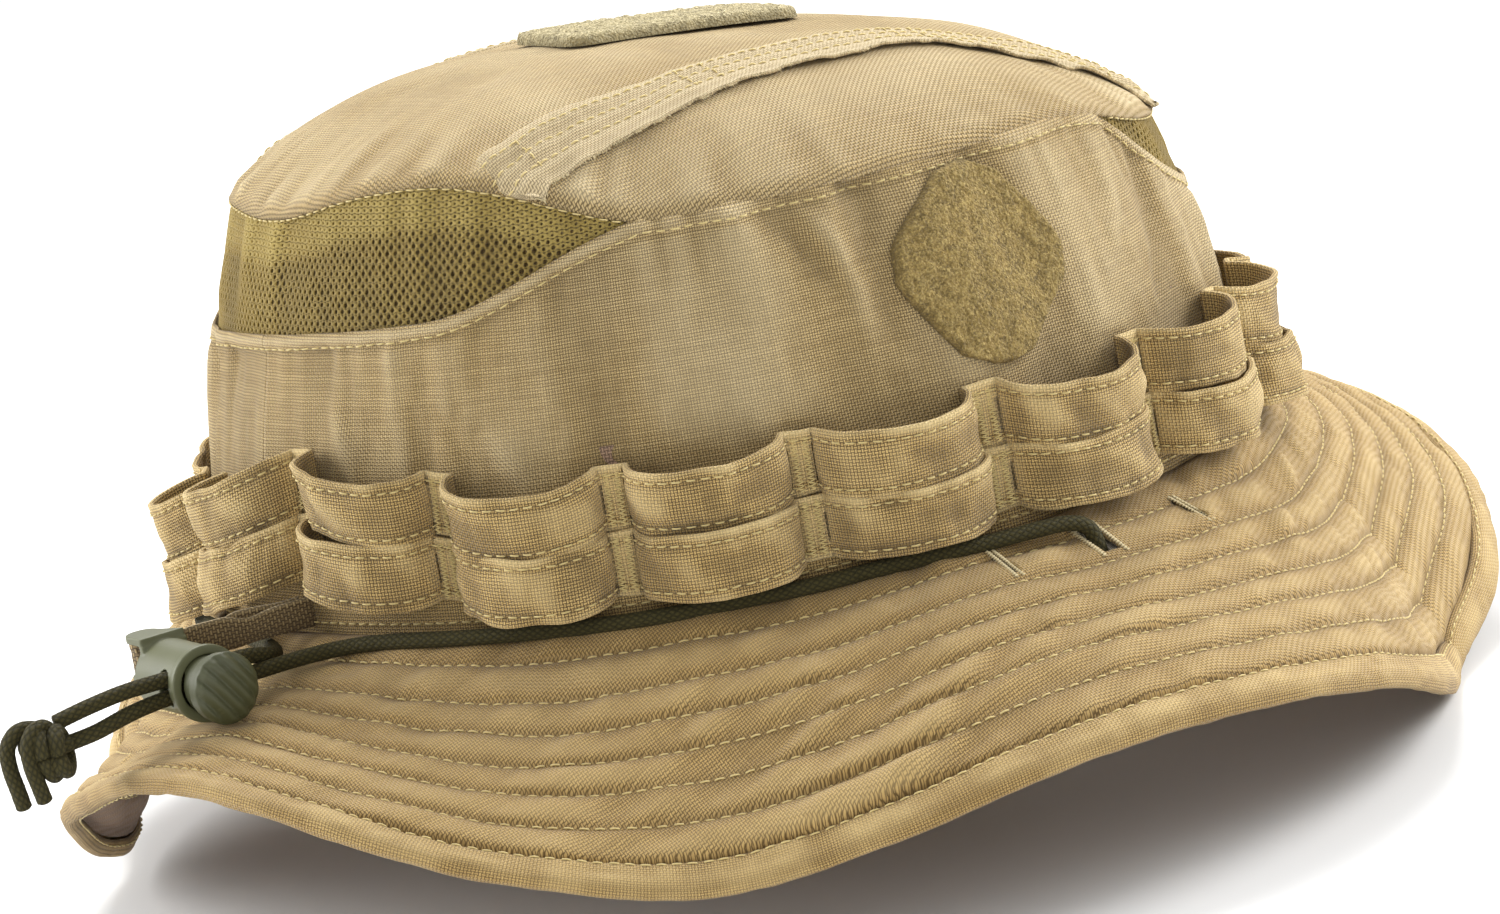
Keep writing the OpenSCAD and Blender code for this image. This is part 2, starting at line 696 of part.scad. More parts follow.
translate(stand) {
    crown_top_centre();
    crown_top_side(true);  // crown_top_right
    crown_top_side(false);  // crown_top_left
    top_strap(true);  // top_strap_right
    top_strap(false);  // top_strap_left
    side_panel(true);  // side_panel_right
    side_panel(false);  // side_panel_left
    mesh_vent(180);  // rear_mesh_vent
    mesh_vent(0);  // front_mesh_vent
    top_patch();
    side_patch();
    base_band();
    sweatband();
    foliage(true, 0);  // foliage_upper_front
    foliage(true, 1);  // foliage_upper_front_left
    foliage(true, 2);  // foliage_upper_rear_left
    foliage(true, 3);  // foliage_upper_rear
    foliage(true, 4);  // foliage_upper_rear_right
    foliage(true, 5);  // foliage_upper_front_right
    foliage(false, 0);  // foliage_lower_front
    foliage(false, 1);  // foliage_lower_front_left
    foliage(false, 2);  // foliage_lower_rear_left
    foliage(false, 3);  // foliage_lower_rear
    foliage(false, 4);  // foliage_lower_rear_right
    foliage(false, 5);  // foliage_lower_front_right
    loop_bartacks();
    brim_top_fabric();
    brim_interlining();
    brim_under_fabric();
    brim_edge_binding();
    buttonhole_stitching();
    drawcord(right_route);  // drawcord_right
    drawcord(left_route);  // drawcord_left
    stopper_knot(-1);  // stopper_knot_right
    stopper_knot(1);  // stopper_knot_left
    cord_tail(upper_tail_route);  // cord_tail_upper
    cord_tail(lower_tail_route);  // cord_tail_lower
    tail_knot();
    webbing_tab();
    lock_housing();
    lock_plunger();
    lock_spring();
}
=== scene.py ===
"""A boonie hat: cloth crown with mesh vents, foliage loops, stitched brim, drawcord and cord lock.

Lengths are in millimetres in the hat's own frame, whose origin is the middle of the crown's foot,
and turn into metres of the shared frame in place(). Angles are in degrees from the front, +X.
"""

import math

import bpy
import numpy as np
from mathutils import Matrix, Vector


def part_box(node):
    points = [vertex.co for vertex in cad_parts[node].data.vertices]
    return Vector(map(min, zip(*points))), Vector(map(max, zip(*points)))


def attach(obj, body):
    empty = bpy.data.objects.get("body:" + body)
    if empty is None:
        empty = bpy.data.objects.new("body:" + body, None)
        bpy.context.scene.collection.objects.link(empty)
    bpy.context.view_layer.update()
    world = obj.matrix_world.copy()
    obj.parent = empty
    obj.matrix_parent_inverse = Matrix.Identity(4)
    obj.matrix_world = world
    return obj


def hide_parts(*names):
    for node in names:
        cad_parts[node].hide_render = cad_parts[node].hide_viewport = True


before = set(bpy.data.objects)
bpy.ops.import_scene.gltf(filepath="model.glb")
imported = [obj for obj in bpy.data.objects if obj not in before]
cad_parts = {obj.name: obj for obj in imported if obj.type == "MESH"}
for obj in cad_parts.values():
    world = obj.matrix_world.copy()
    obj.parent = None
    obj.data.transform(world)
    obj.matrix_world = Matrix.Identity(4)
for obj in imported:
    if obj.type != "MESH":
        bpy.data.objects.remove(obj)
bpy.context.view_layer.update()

# ---- Driving dimensions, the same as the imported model's ----

CROWN_LENGTH = 200
CROWN_WIDTH = 182
SEAM_HEIGHT = 69
BACK_RISE = 12
BACK_DIP = 4
REAR_LEFT_DIP = 5.5
FRONT_DROP = 9
TOP_HEIGHT = 90
TOP_SLOPE = 0.1
DOME_POWER = 3.2
SIDE_TAPER = 14
FRONT_TAPER = 8
BACK_TAPER = 15
OVAL_N = 2.1
SETTLED = -5
VENT_HALF_ANGLE = 57
VENT_LOW = 54
FRONT_VENT_DROP = 11
BAND_TOP = 10.5
STRAP_ANGLE = 39
SIDE_PATCH_ANGLE = -85
SIDE_PATCH_Z = 48
SIDE_PATCH_TILT = math.radians(10)
SIDE_PATCH_HALF = (18.5, 18)
FLAT_SIDE = 0.93
CONVERGE = 12
BRIM_WIDTH = 64
BRIM_LEVEL = -24
BRIM_WAVES = [(-42, 31, -31), (-124, 18, -15), (-162, 17, 14), (12, 16, 5),
              (60, 28, -29), (143, 22, -27), (100, 16, -4)]
BRIM_BOW = 0.62
BACK_BOW = 0.9
BACK_TUCK = 0.26
SLOT_ANGLES = (-72, -84.4, -94)
CORD_SLOT = SLOT_ANGLES[1]
SLOT_FROM, SLOT_TO = 0.13, 0.27
CORD_D = 3

# The brim's stitch rows, as fractions of its width, and where its hem begins
STITCH_ROWS = (0.15, 0.31, 0.435, 0.555, 0.665, 0.785)
HEM_AT = 0.9


def packed_box(node):
    """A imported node's lowest and highest corners in the shared frame, in mm."""
    return [np.array(corner) * 1000 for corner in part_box(node)]


# The hat's origin in the shared frame, from the foot band's box
band_low, band_high = packed_box("base_band")
ORIGIN = np.array([(band_low[0] + band_high[0]) / 2, (band_low[1] + band_high[1]) / 2,
                   band_high[2] - BAND_TOP])


def hat_box(node):
    """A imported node's lowest and highest corners in the hat's frame, in mm."""
    return [corner - ORIGIN for corner in packed_box(node)]


def place(points):
    """Points in the hat's frame, in mm, as points of the shared frame, in metres."""
    return (np.asarray(points, float) + ORIGIN) / 1000


# ---- Numbers and noise ----

def spow(v, e):
    """A power that keeps the sign of v."""
    return np.sign(v) * np.abs(v) ** e


def mix(a, b, k):
    return a + (b - a) * k


def smooth(v):
    """A soft step, from 0 where v is 0 to 1 where v is 1."""
    k = np.clip(v, 0, 1)
    return k * k * (3 - 2 * k)


def turn(t):
    """An angle brought to between -180 and 180."""
    return (t + 180) % 360 - 180


def bump(t, at, width):
    """A smooth bump round the hat, at an angle."""
    return np.exp(-(turn(t - at) / width) ** 2)


def ridge(v, at, width):
    """A smooth bump on a line, where bump() is one round the hat."""
    return np.exp(-((v - at) / width) ** 2)


def noise(u, v, seed, period=256):
    """Smooth noise from -1 to 1, with one cell a unit. It repeats along u after period cells."""
    table = np.random.default_rng(seed).uniform(-1, 1, (256, 256))
    u, v = np.broadcast_arrays(np.asarray(u, float), np.asarray(v, float))
    i, j = np.floor(u).astype(int), np.floor(v).astype(int)
    a, b = smooth(u - i), smooth(v - j)
    i0, i1 = i % period % 256, (i + 1) % period % 256
    j0, j1 = j % 256, (j + 1) % 256
    return mix(mix(table[j0, i0], table[j0, i1], a), mix(table[j1, i0], table[j1, i1], a), b)


def unit(v):
    return v / np.maximum(1e-9, np.linalg.norm(v, axis=-1, keepdims=True))


# ---- The crown's and the brim's surfaces ----

def seam_z(t):
    """Height of the seam between the wall and the top."""
    c = np.cos(np.radians(t))
    return (SEAM_HEIGHT + BACK_RISE * smooth((-c - 0.5) / 0.4) - BACK_DIP * bump(t, 180, 15)
            - REAR_LEFT_DIP * bump(t, 148, 30) - FRONT_DROP * smooth((c - 0.35) / 0.5))


def foot_z(t):
    """How far the wall's foot is below its usual level, where the crown has settled."""
    return SETTLED * bump(t, 152, 22)


def outward(t):
    """Level direction square to the wall."""
    c, s = np.cos(np.radians(t)), np.sin(np.radians(t))
    e = 2 - 2 / OVAL_N
    return unit(np.stack([spow(c, e) / CROWN_LENGTH, spow(s, e) / CROWN_WIDTH, 0 * c], -1))


def wall(t, z, grow=0):
    """A point of the crown's wall at angle t and height z, grown outward."""
    t, z, grow = np.broadcast_arrays(*(np.asarray(q, float) for q in (t, z, grow)))
    c, s = np.cos(np.radians(t)), np.sin(np.radians(t))
    k = np.maximum(0, z) / seam_z(t)
    a = CROWN_LENGTH / 2 - np.where(c > 0, FRONT_TAPER, BACK_TAPER) * k * k
    b = CROWN_WIDTH / 2 - SIDE_TAPER * k * k
    p = np.stack([a * spow(c, 2 / OVAL_N), b * spow(s, 2 / OVAL_N), z + foot_z(t) * (1 - k)], -1)
    return p + outward(t) * grow[..., None]


SEAM_FRONT = CROWN_LENGTH / 2 - FRONT_TAPER
SEAM_BACK = CROWN_LENGTH / 2 - BACK_TAPER
SEAM_WIDTH = CROWN_WIDTH / 2 - SIDE_TAPER


def reach_of(x, y):
    """How far a plan position is from the middle of the top, where the seam is at 1."""
    length = np.where(x > 0, SEAM_FRONT, SEAM_BACK)
    return (np.abs(x / length) ** OVAL_N + np.abs(y / SEAM_WIDTH) ** OVAL_N) ** (1 / OVAL_N)


def spread(x, y):
    return np.clip(reach_of(x, y), 0.001, 1)


def seam_angle(x, y):
    length = np.where(x > 0, SEAM_FRONT, SEAM_BACK)
    e = OVAL_N / 2
    return np.degrees(np.arctan2(spow(y / SEAM_WIDTH, e), spow(x / length, e)))


def top_z(x, y):
    r = spread(x, y)
    edge = TOP_HEIGHT - TOP_SLOPE * x / r
    return TOP_HEIGHT - TOP_SLOPE * x + (seam_z(seam_angle(x, y)) - edge) * r ** DOME_POWER


def top(f, u):
    """A point of the top on the straight line that starts on the back seam at angle f."""
    g = f - CONVERGE * np.sin(np.radians(2 * f))
    f, g = np.radians(f), np.radians(g)
    e = 2 / OVAL_N
    x = mix(-SEAM_BACK * spow(np.cos(f), e), SEAM_FRONT * spow(np.cos(g), e), u)
    y = SEAM_WIDTH * mix(spow(np.sin(f), e), spow(np.sin(g), e), u)
    return np.stack([x, y, top_z(x, y)], -1)


def edge_z(t):
    """Height of the brim's outer edge."""
    return BRIM_LEVEL + sum(height * bump(t, at, width) for at, width, height in BRIM_WAVES)


def brim(t, u, lift=0):
    """A point of the brim at angle t and fraction u of its width."""
    t, u, lift = np.broadcast_arrays(*(np.asarray(q, float) for q in (t, u, lift)))
    drop = edge_z(t)
    tuck = 1 - BACK_TUCK * bump(t, 165, 30)
    reach = 0.985 * tuck * np.sqrt(BRIM_WIDTH ** 2 - drop * drop)
    p = wall(t, 0) + outward(t) * (reach * u)[..., None]
    k = BRIM_BOW + BACK_BOW * bump(t, -168, 30)
    z = p[..., 2] * (1 - u) + drop * (k * u + (1 - k) * u * u) + lift
    return np.stack([p[..., 0], p[..., 1], z], -1)


def vent_edge(t, d):
    """Height of a vent's lower edge at angle t, which is d from the vent's middle."""
    aside = np.abs(d) / VENT_HALF_ANGLE
    drop = np.where(np.cos(np.radians(t)) > 0, FRONT_VENT_DROP, 0)
    low = VENT_LOW - drop + 0.06 * d + 1.5 * aside ** 2
    k = np.clip(2 * aside - 1, 0, 1) ** 2
    return mix(low, seam_z(t) - 0.7, k)


def panel_top(t):
    """Height of the side panel's upper edge, under the seam or round a vent."""
    front, back = turn(t), turn(t - 180)
    z = np.where(np.abs(front) < VENT_HALF_ANGLE, vent_edge(t, -front), seam_z(t) - 0.7)
    return np.where(np.abs(back) < VENT_HALF_ANGLE, vent_edge(t, back), z)


def by_vent(t):
    """1 where a vent is above the side panel, and 0 where the top seam is."""
    off = np.minimum(np.abs(turn(t)), np.abs(turn(t - 180)))
    return smooth((VENT_HALF_ANGLE - off) / 4)


# ---- Mesh building ----

def add_mesh(name, points, faces, uv, tone=None, *, material, slot, body="hat"):
    """A shaded mesh piece in the hat's frame. uv is one pair for each face corner, and tone is a
    shade for each point, mostly painted shade and highlight, where 0.5 is plain, less is darker and
    more is paler."""
    mesh = bpy.data.meshes.new(name)
    rows = faces if isinstance(faces, list) else faces.tolist()
    mesh.from_pydata(place(points).tolist(), [], rows)
    if uv is not None:
        layer = mesh.uv_layers.new(name="UVMap")
        layer.data.foreach_set("uv", np.asarray(uv, np.float32).ravel())
    if tone is not None:
        shade = mesh.attributes.new("tone", "FLOAT", "POINT")
        shade.data.foreach_set("value", np.asarray(tone, np.float32).ravel())
    mesh.polygons.foreach_set("use_smooth", [True] * len(mesh.polygons))
    mesh.update()
    piece = bpy.data.objects.new(name, mesh)
    bpy.context.scene.collection.objects.link(piece)
    mesh.materials.append(material)
    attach(piece, body)
    return piece


def grid_normals(p, wrap=False):
    """Normals of a grid of points: rows run along the first axis and columns along the second."""
    if wrap:
        du = np.roll(p, -1, 1) - np.roll(p, 1, 1)
    else:
        du = np.gradient(p, axis=1)
    return unit(np.cross(du, np.gradient(p, axis=0)))


def grid_faces(rows, cols, wrap=False, keep=None):
    """Quads of a grid, counter-clockwise as seen from outside, and their four corner indexes."""
    j, i = np.meshgrid(np.arange(rows - 1), np.arange(cols if wrap else cols - 1), indexing="ij")
    if keep is not None:
        j, i = j[keep], i[keep]
    j, i = j.ravel(), i.ravel()
    k = (i + 1) % cols
    return np.stack([j * cols + i, j * cols + k, (j + 1) * cols + k, (j + 1) * cols + i], -1), i, j


def thicken(faces, n):
    """Faces of a thin solid: a sheet's quads, the same quads of its back n points further on, and
    walls round its open edges. It also gives which of the sheet's edges the walls stand on."""
    edges = np.concatenate([faces[:, [a, (a + 1) % 4]] for a in range(4)])
    code = edges.min(1).astype(np.int64) * n + edges.max(1)
    _, at, count = np.unique(code, return_index=True, return_counts=True)
    once = at[count == 1]
    a, b = edges[once].T
    walls = np.stack([b, a, a + n, b + n], -1)
    return np.concatenate([faces, faces[:, ::-1] + n, walls]), once


def shell(name, outer, thick, uv, tone, wrap=False, keep=None, **how):
    """A closed sheet of cloth under a grid of outer points. uv has one more column than the grid
    where the grid wraps."""
    rows, cols = outer.shape[:2]
    normal = grid_normals(outer, wrap)
    inner = outer - normal * thick
    faces, i, j = grid_faces(rows, cols, wrap, keep)
    all_faces, once = thicken(faces, rows * cols)
    corner_uv = np.stack([uv[j, i], uv[j, i + 1], uv[j + 1, i + 1], uv[j + 1, i]], 1)
    edge_uv = np.concatenate([corner_uv[:, [a, (a + 1) % 4]] for a in range(4)])[once]
    all_uv = np.concatenate([corner_uv, corner_uv[:, ::-1], edge_uv[:, [1, 0, 0, 1]]])
    points = np.concatenate([outer.reshape(-1, 3), inner.reshape(-1, 3)])
    shade = np.concatenate([tone.ravel(), tone.ravel()])
    used = np.zeros(len(points), bool)
    used[all_faces.ravel()] = True
    renumber = np.cumsum(used) - 1
    return add_mesh(name, points[used], renumber[all_faces], all_uv, shade[used], **how)


def sweep(path, ring, up):
    """Points of a ring of (side, up) offsets carried along a path, as a grid with a row for each
    point of the path. up is the direction of the ring's second offset at each point."""
    along = unit(np.gradient(path, axis=0))
    side = unit(np.cross(along, up))
    over = np.cross(side, along)
    return path[:, None] + side[:, None] * ring[..., 0:1] + over[:, None] * ring[..., 1:2]


def carried(path):
    """An up direction for each point of a path that turns as little as it can."""
    along = unit(np.gradient(path, axis=0))
    ups = [unit(np.cross(np.cross(along[0], [0.1, 0.2, 1]), along[0]))]
    for d in along[1:]:
        ups.append(unit(ups[-1] - d * (ups[-1] @ d)))
    return np.array(ups)


def curve_points(route, step):
    """A smooth curve through a route's points, with a point about every step."""
    p = np.asarray(route, float)
    out = []
    for i in range(len(p) - 1):
        a, b, c, d = p[max(i - 1, 0)], p[i], p[i + 1], p[min(i + 2, len(p) - 1)]
        n = max(1, int(round(np.linalg.norm(c - b) / step)))
        k = np.arange(n)[:, None] / n
        out.append(0.5 * (2 * b + (c - a) * k + (2 * a - 5 * b + 4 * c - d) * k * k
                          + (3 * b - a - 3 * c + d) * k ** 3))
    out.append(p[-1:])
    return np.concatenate(out)


def run_along(path):
    """Length of a path from its start to each of its points."""
    return np.concatenate([[0], np.cumsum(np.linalg.norm(np.diff(path, axis=0), axis=1))])


BRAID_PITCH = 1.6
BRAID_RELIEF = 0.05
CORD_ROUND = 9
TUBE_END = 0.72


def tube_data(path, radius, sides):
    """Points, faces and corner uv of a closed braided tube along a path, and its two end caps."""
    n = len(path)
    s = run_along(path)
    a = np.arange(sides) / sides
    strands = 4
    weave = (np.sin(2 * np.pi * (a * strands + s[:, None] / BRAID_PITCH))
             * np.sin(2 * np.pi * (a * strands - s[:, None] / BRAID_PITCH)))
    r = radius * np.ones((n, sides)) + BRAID_RELIEF * (weave - 1)
    r[[0, -1]] *= TUBE_END
    angle = 2 * np.pi * a
    ring = np.stack([r * np.cos(angle), r * np.sin(angle)], -1)
    points = sweep(path, ring, carried(path))
    faces, i, j = grid_faces(n, sides, True)
    uv = np.stack([np.stack([(i + p) / sides * CORD_ROUND / 1000, s[j + q] / 1000], -1)
                   for p, q in ((0, 0), (1, 0), (1, 1), (0, 1))], 1)
    caps = [range(sides), [(n - 1) * sides + k for k in range(sides)][::-1]]
    cap_uv = np.stack([np.cos(angle), np.sin(angle)], -1) / 1000
    return points.reshape(-1, 3), faces[:, ::-1].tolist(), uv[:, ::-1].reshape(-1, 2), caps, cap_uv


def add_tube(name, paths, radius, sides, **how):
    """One piece made of a tube of cord along each path."""
    points, faces, uvs, start = [], [], [], 0
    for path in paths:
        p, f, uv, caps, cap_uv = tube_data(np.asarray(path, float), radius, sides)
        faces += [[v + start for v in face] for face in f]
        uvs.append(uv)
        for cap in caps:
            faces.append([v + start for v in cap])
            uvs.append(cap_uv)
        points.append(p)
        start += len(p)
    return add_mesh(name, np.concatenate(points), faces, np.concatenate(uvs), **how)


# ---- Thread ----

THREAD_D = 0.34
STITCH = 2.7


class Thread:
    """Collects stitches, and makes one piece of them."""

    def __init__(self):
        self.points, self.faces, self.count = [], [], 0

    def tube(self, path, normal, radius):
        """A thread along a short path, tapered to a point at both ends."""
        n, sides = len(path), 5
        angle = 2 * np.pi * np.arange(sides) / sides
        ring = radius * np.stack([np.cos(angle), np.sin(angle)], -1)
        body = sweep(path, np.broadcast_to(ring, (n, sides, 2)), normal)
        core = body[1:-1].reshape(-1, 3)
        base = self.count
        rows = n - 2
        for j in range(rows - 1):
            for k in range(sides):
                a, b = base + j * sides + k, base + j * sides + (k + 1) % sides
                self.faces.append([a, a + sides, b + sides, b])
        first, last = base + len(core), base + len(core) + 1
        for k in range(sides):
            a, b = base + k, base + (k + 1) % sides
            self.faces.append([first, a, b])
            a, b = a + (rows - 1) * sides, b + (rows - 1) * sides
            self.faces.append([a, last, b])
        self.points += [core, path[:1], path[-1:]]
        self.count += len(core) + 2

    def row(self, path, normal, pitch, seed):
        """A row of stitches along a fine path on a surface with the given normals. A stitch takes
        up part of its pitch and dips into the cloth at both ends."""
        fill = 0.78
        s = run_along(path)
        count = max(1, int(s[-1] / pitch))
        rng = np.random.default_rng(seed)
        shape = np.array([-0.25, 0.1, 0.24, 0.1, -0.25])
        along = np.array([0.0, 0.16, 0.5, 0.84, 1.0])
        wobble = rng.uniform(-0.12, 0.12, (count, 2))
        for c in range(count):
            a = (c + (1 - fill) / 2 + wobble[c, 0] * 0.4) * s[-1] / count
            at = a + along * pitch * fill
            p = np.stack([np.interp(at, s, path[:, k]) for k in range(3)], -1)
            n = unit(np.stack([np.interp(at, s, normal[:, k]) for k in range(3)], -1))
            side = unit(np.cross(n[2], p[-1] - p[0]))
            p = p + n * shape[:, None] + side * (wobble[c, 1] * np.linspace(-1, 1, 5))[:, None]
            self.tube(p, n, THREAD_D / 2)

    def zigzag(self, corners, normal, turns, radius):
        """A dense zigzag that fills the quad of four corners, from its first side to its third."""
        a, b, c, d = (np.asarray(q, float) for q in corners)
        k = np.linspace(0, 1, 2 * turns + 1)[:, None]
        left, right = mix(a, d, k), mix(b, c, k)
        odd = (np.arange(2 * turns + 1) % 2)[:, None]
        path = np.where(odd, right, left)
        fine = np.concatenate([mix(path[:-1], path[1:], q)[:, None] for q in (0, 0.5)], 1)
        fine = np.concatenate([fine.reshape(-1, 3), path[-1:]])
        fine[1::2] += normal * 0.16
        self.tube(fine, np.broadcast_to(normal, fine.shape), radius)

    def build(self, name, **how):
        return add_mesh(name, np.concatenate(self.points), self.faces, None, **how)


# ---- Materials ----

class Nodes:
    """A material's node tree, with short calls for the nodes that repeat."""

    def __init__(self, name):
        self.material = bpy.data.materials.new(name)
        self.material.use_nodes = True
        self.tree = self.material.node_tree
        self.shader = self.tree.nodes["Principled BSDF"]

    def add(self, kind, **values):
        node = self.tree.nodes.new(kind)
        for key, value in values.items():
            setattr(node, key, value)
        return node

    def put(self, value, socket):
        if isinstance(value, bpy.types.NodeSocket):
            self.tree.links.new(value, socket)
        else:
            socket.default_value = value

    def math(self, operation, a, b=0.0, clamp=False):
        node = self.add("ShaderNodeMath", operation=operation, use_clamp=clamp)
        self.put(a, node.inputs[0])
        self.put(b, node.inputs[1])
        return node.outputs[0]

    def plus(self, a, b):
        return self.math("ADD", a, b)

    def minus(self, a, b):
        return self.math("SUBTRACT", a, b)

    def times(self, a, b, clamp=False):
        return self.math("MULTIPLY", a, b, clamp)

    def sine(self, a):
        return self.math("SINE", a)

    def blend(self, factor, a, b):
        """A mix of two numbers."""
        node = self.add("ShaderNodeMix", data_type="FLOAT")
        self.put(factor, node.inputs[0])
        self.put(a, node.inputs[2])
        self.put(b, node.inputs[3])
        return node.outputs[0]

    def tint(self, factor, a, b, how="MIX"):
        """A mix of two colours."""
        node = self.add("ShaderNodeMix", data_type="RGBA", blend_type=how)
        self.put(factor, node.inputs[0])
        self.put(a, node.inputs[6])
        self.put(b, node.inputs[7])
        return node.outputs[2]

    def noise(self, where, scale, detail=3.0, rough=0.55):
        node = self.add("ShaderNodeTexNoise")
        self.put(where, node.inputs["Vector"])
        node.inputs["Scale"].default_value = scale
        node.inputs["Detail"].default_value = detail
        node.inputs["Roughness"].default_value = rough
        return node.outputs["Fac"]

    def uv(self):
        node = self.add("ShaderNodeUVMap", uv_map="UVMap")
        split = self.add("ShaderNodeSeparateXYZ")
        self.put(node.outputs[0], split.inputs[0])
        return split.outputs[0], split.outputs[1]

    def place(self):
        return self.add("ShaderNodeTexCoord").outputs["Object"]

    def tone(self):
        return self.add("ShaderNodeAttribute", attribute_name="tone").outputs["Fac"]

    def speckle(self, value, seed):
        """A random number from 0 to 1 for each whole part of value."""
        cell = self.math("FLOOR", value)
        node = self.add("ShaderNodeTexWhiteNoise", noise_dimensions="1D")
        self.put(self.plus(cell, seed), node.inputs["W"])
        return node.outputs["Value"]

    def finish(self, colour, rough, height, distance, sheen=0.0, strength=1.0):
        self.put(colour, self.shader.inputs["Base Color"])
        self.put(rough, self.shader.inputs["Roughness"])
        self.shader.inputs["Sheen Weight"].default_value = sheen
        self.shader.inputs["Sheen Roughness"].default_value = 0.5
        bump_node = self.add("ShaderNodeBump")
        bump_node.inputs["Strength"].default_value = strength
        bump_node.inputs["Distance"].default_value = distance
        self.put(height, bump_node.inputs["Height"])
        self.put(bump_node.outputs[0], self.shader.inputs["Normal"])
        return self.material


def rgb(r, g, b):
    return (r, g, b, 1.0)


def darker(colour, k):
    return rgb(*(k * c for c in colour[:3]))


def shaded(n, colour, dark, pale):
    """A colour darkened and paled by the piece's tone, which is mostly painted shade and highlight.
    """
    tone = n.tone()
    low = n.times(n.minus(0.5, tone), 2.0, True)
    high = n.times(n.minus(tone, 0.5), 2.0, True)
    return n.tint(high, n.tint(low, colour, dark), pale)


def woven(name, main, dark, pale, pitch=0.54, slub=0.3, relief=0.16, ribs=0.0, dim=0.0):
    """Plain weave: threads over and under each other, each with its own shade and slubs.

    pitch is a thread's width and relief its height, in mm. slub is how uneven the threads' shades
    are, dim darkens them all, and ribs raises the threads along u over those along v.
    """
    n = Nodes(name)
    u, v = n.uv()
    per_m = 1000 / pitch
    wander = n.noise(n.place(), 60.0, 2.0)
    a = n.plus(n.times(u, per_m), n.times(wander, 0.9))
    b = n.plus(n.times(v, per_m), n.times(wander, 0.7))
    warp = n.math("ABSOLUTE", n.sine(n.times(a, math.pi)))
    weft = n.math("ABSOLUTE", n.sine(n.times(b, math.pi)))
    over = n.math("PINGPONG", n.plus(n.math("FLOOR", a), n.math("FLOOR", b)), 1.0)
    height = n.blend(over, warp, n.times(weft, 1.0 - ribs))
    shade_a, shade_b = n.speckle(a, 3.0), n.speckle(b, 71.0)
    thread = n.blend(over, shade_a, shade_b)
    streak = n.add("ShaderNodeCombineXYZ")
    n.put(n.times(u, 90.0), streak.inputs[0])
    n.put(n.times(v, 1500.0), streak.inputs[1])
    slubs = n.noise(streak.outputs[0], 1.0, 2.0, 0.6)
    fade = n.noise(n.place(), 30.0, 5.0, 0.65)
    mottle = n.noise(n.place(), 260.0, 3.0, 0.7)
    uneven = n.plus(n.times(thread, slub * 0.5), n.times(slubs, slub * 1.3))
    level = n.minus(n.plus(uneven, n.times(mottle, 0.5)), dim)
    colour = n.tint(n.times(level, 1.0, True), dark, main)
    colour = n.tint(n.times(n.minus(fade, 0.42), 0.75, True), colour, pale)
    # Painted shade: darker where the threads dip, in the gaps between them; then the tone's painted
    # shade and highlight.
    gap_shade = n.times(n.minus(0.88, height), 2.3, True)
    colour = n.tint(gap_shade, colour, darker(dark, 0.52))
    colour = shaded(n, colour, darker(dark, 0.42), pale)
    rough = n.blend(mottle, 0.82, 0.97)
    return n.finish(colour, rough, height, relief / 1000, sheen=0.12)


def mesh_knit(name):
    """The vents' knit: fine courses round every hole."""
    n = Nodes(name)
    u, v = n.uv()
    loops = n.times(n.sine(n.times(u, 2 * math.pi / 0.00048)),
                   n.sine(n.times(v, 2 * math.pi / 0.00041)))
    fade = n.noise(n.place(), 40.0, 3.0)
    fuzz = n.noise(n.place(), 2200.0, 2.0)
    colour = n.tint(fade, rgb(0.22, 0.142, 0.022), rgb(0.36, 0.245, 0.044))
    colour = n.tint(n.times(fuzz, 0.6), colour, rgb(0.46, 0.325, 0.07))
    colour = shaded(n, colour, rgb(0.05, 0.033, 0.006), rgb(0.56, 0.42, 0.11))
    return n.finish(colour, n.blend(fuzz, 0.7, 0.9), loops, 0.00012, sheen=0.08)


def loop_pile(name, main, pale):
    """Loop pile: a fuzz of tiny curls."""
    n = Nodes(name)
    where = n.place()
    cells = n.add("ShaderNodeTexVoronoi")
    n.put(where, cells.inputs["Vector"])
    cells.inputs["Scale"].default_value = 1900.0
    curls = cells.outputs["Distance"]
    fuzz = n.noise(where, 1900.0, 3.0, 0.7)
    clumps = n.noise(where, 330.0, 3.0, 0.6)
    # The colour follows the fuzz that also raises the bump: darker in the pile's low spots and
    # paler on its tips, painted shade and highlight over its clumped, uneven tone.
    level = n.plus(n.times(fuzz, 0.7), n.times(clumps, 0.5))
    colour = n.tint(n.times(n.minus(level, 0.42), 3.2, True), darker(main, 0.36), main)
    colour = n.tint(n.times(n.minus(fuzz, 0.48), 4.0, True), colour, pale)
    colour = shaded(n, colour, darker(main, 0.4), pale)
    height = n.plus(curls, n.times(fuzz, 0.9))
    return n.finish(colour, 0.96, height, 0.0006, sheen=0.05)


def braid_cord(name):
    """Braided cord: crossing strands of fine yarns."""
    n = Nodes(name)
    u, v = n.uv()
    around = n.times(u, 8000 / CORD_ROUND)
    along = n.times(v, 1000 / BRAID_PITCH)
    left = n.sine(n.times(n.plus(around, along), math.pi))
    right = n.sine(n.times(n.minus(around, along), math.pi))
    height = n.math("ABSOLUTE", n.times(left, right))
    over = n.math("GREATER_THAN", n.times(left, right), 0.0)
    yarn = n.blend(over, n.plus(around, along), n.minus(around, along))
    yarns = n.math("ABSOLUTE", n.sine(n.times(yarn, math.pi * 4)))
    fuzz = n.noise(n.place(), 900.0, 3.0, 0.7)
    tall = n.plus(height, n.times(yarns, 0.35))
    # Painted shade and highlight: nearly black in the braid's grooves, paler on the strands'
    # crowns.
    colour = n.tint(n.times(tall, 0.8, True), rgb(0.006, 0.007, 0.002),
                    rgb(0.066, 0.054, 0.015))
    colour = n.tint(n.times(fuzz, 0.3), colour, rgb(0.115, 0.10, 0.035))
    n.shader.inputs["Specular IOR Level"].default_value = 0.25
    return n.finish(colour, n.blend(fuzz, 0.62, 0.85), tall, 0.00028)


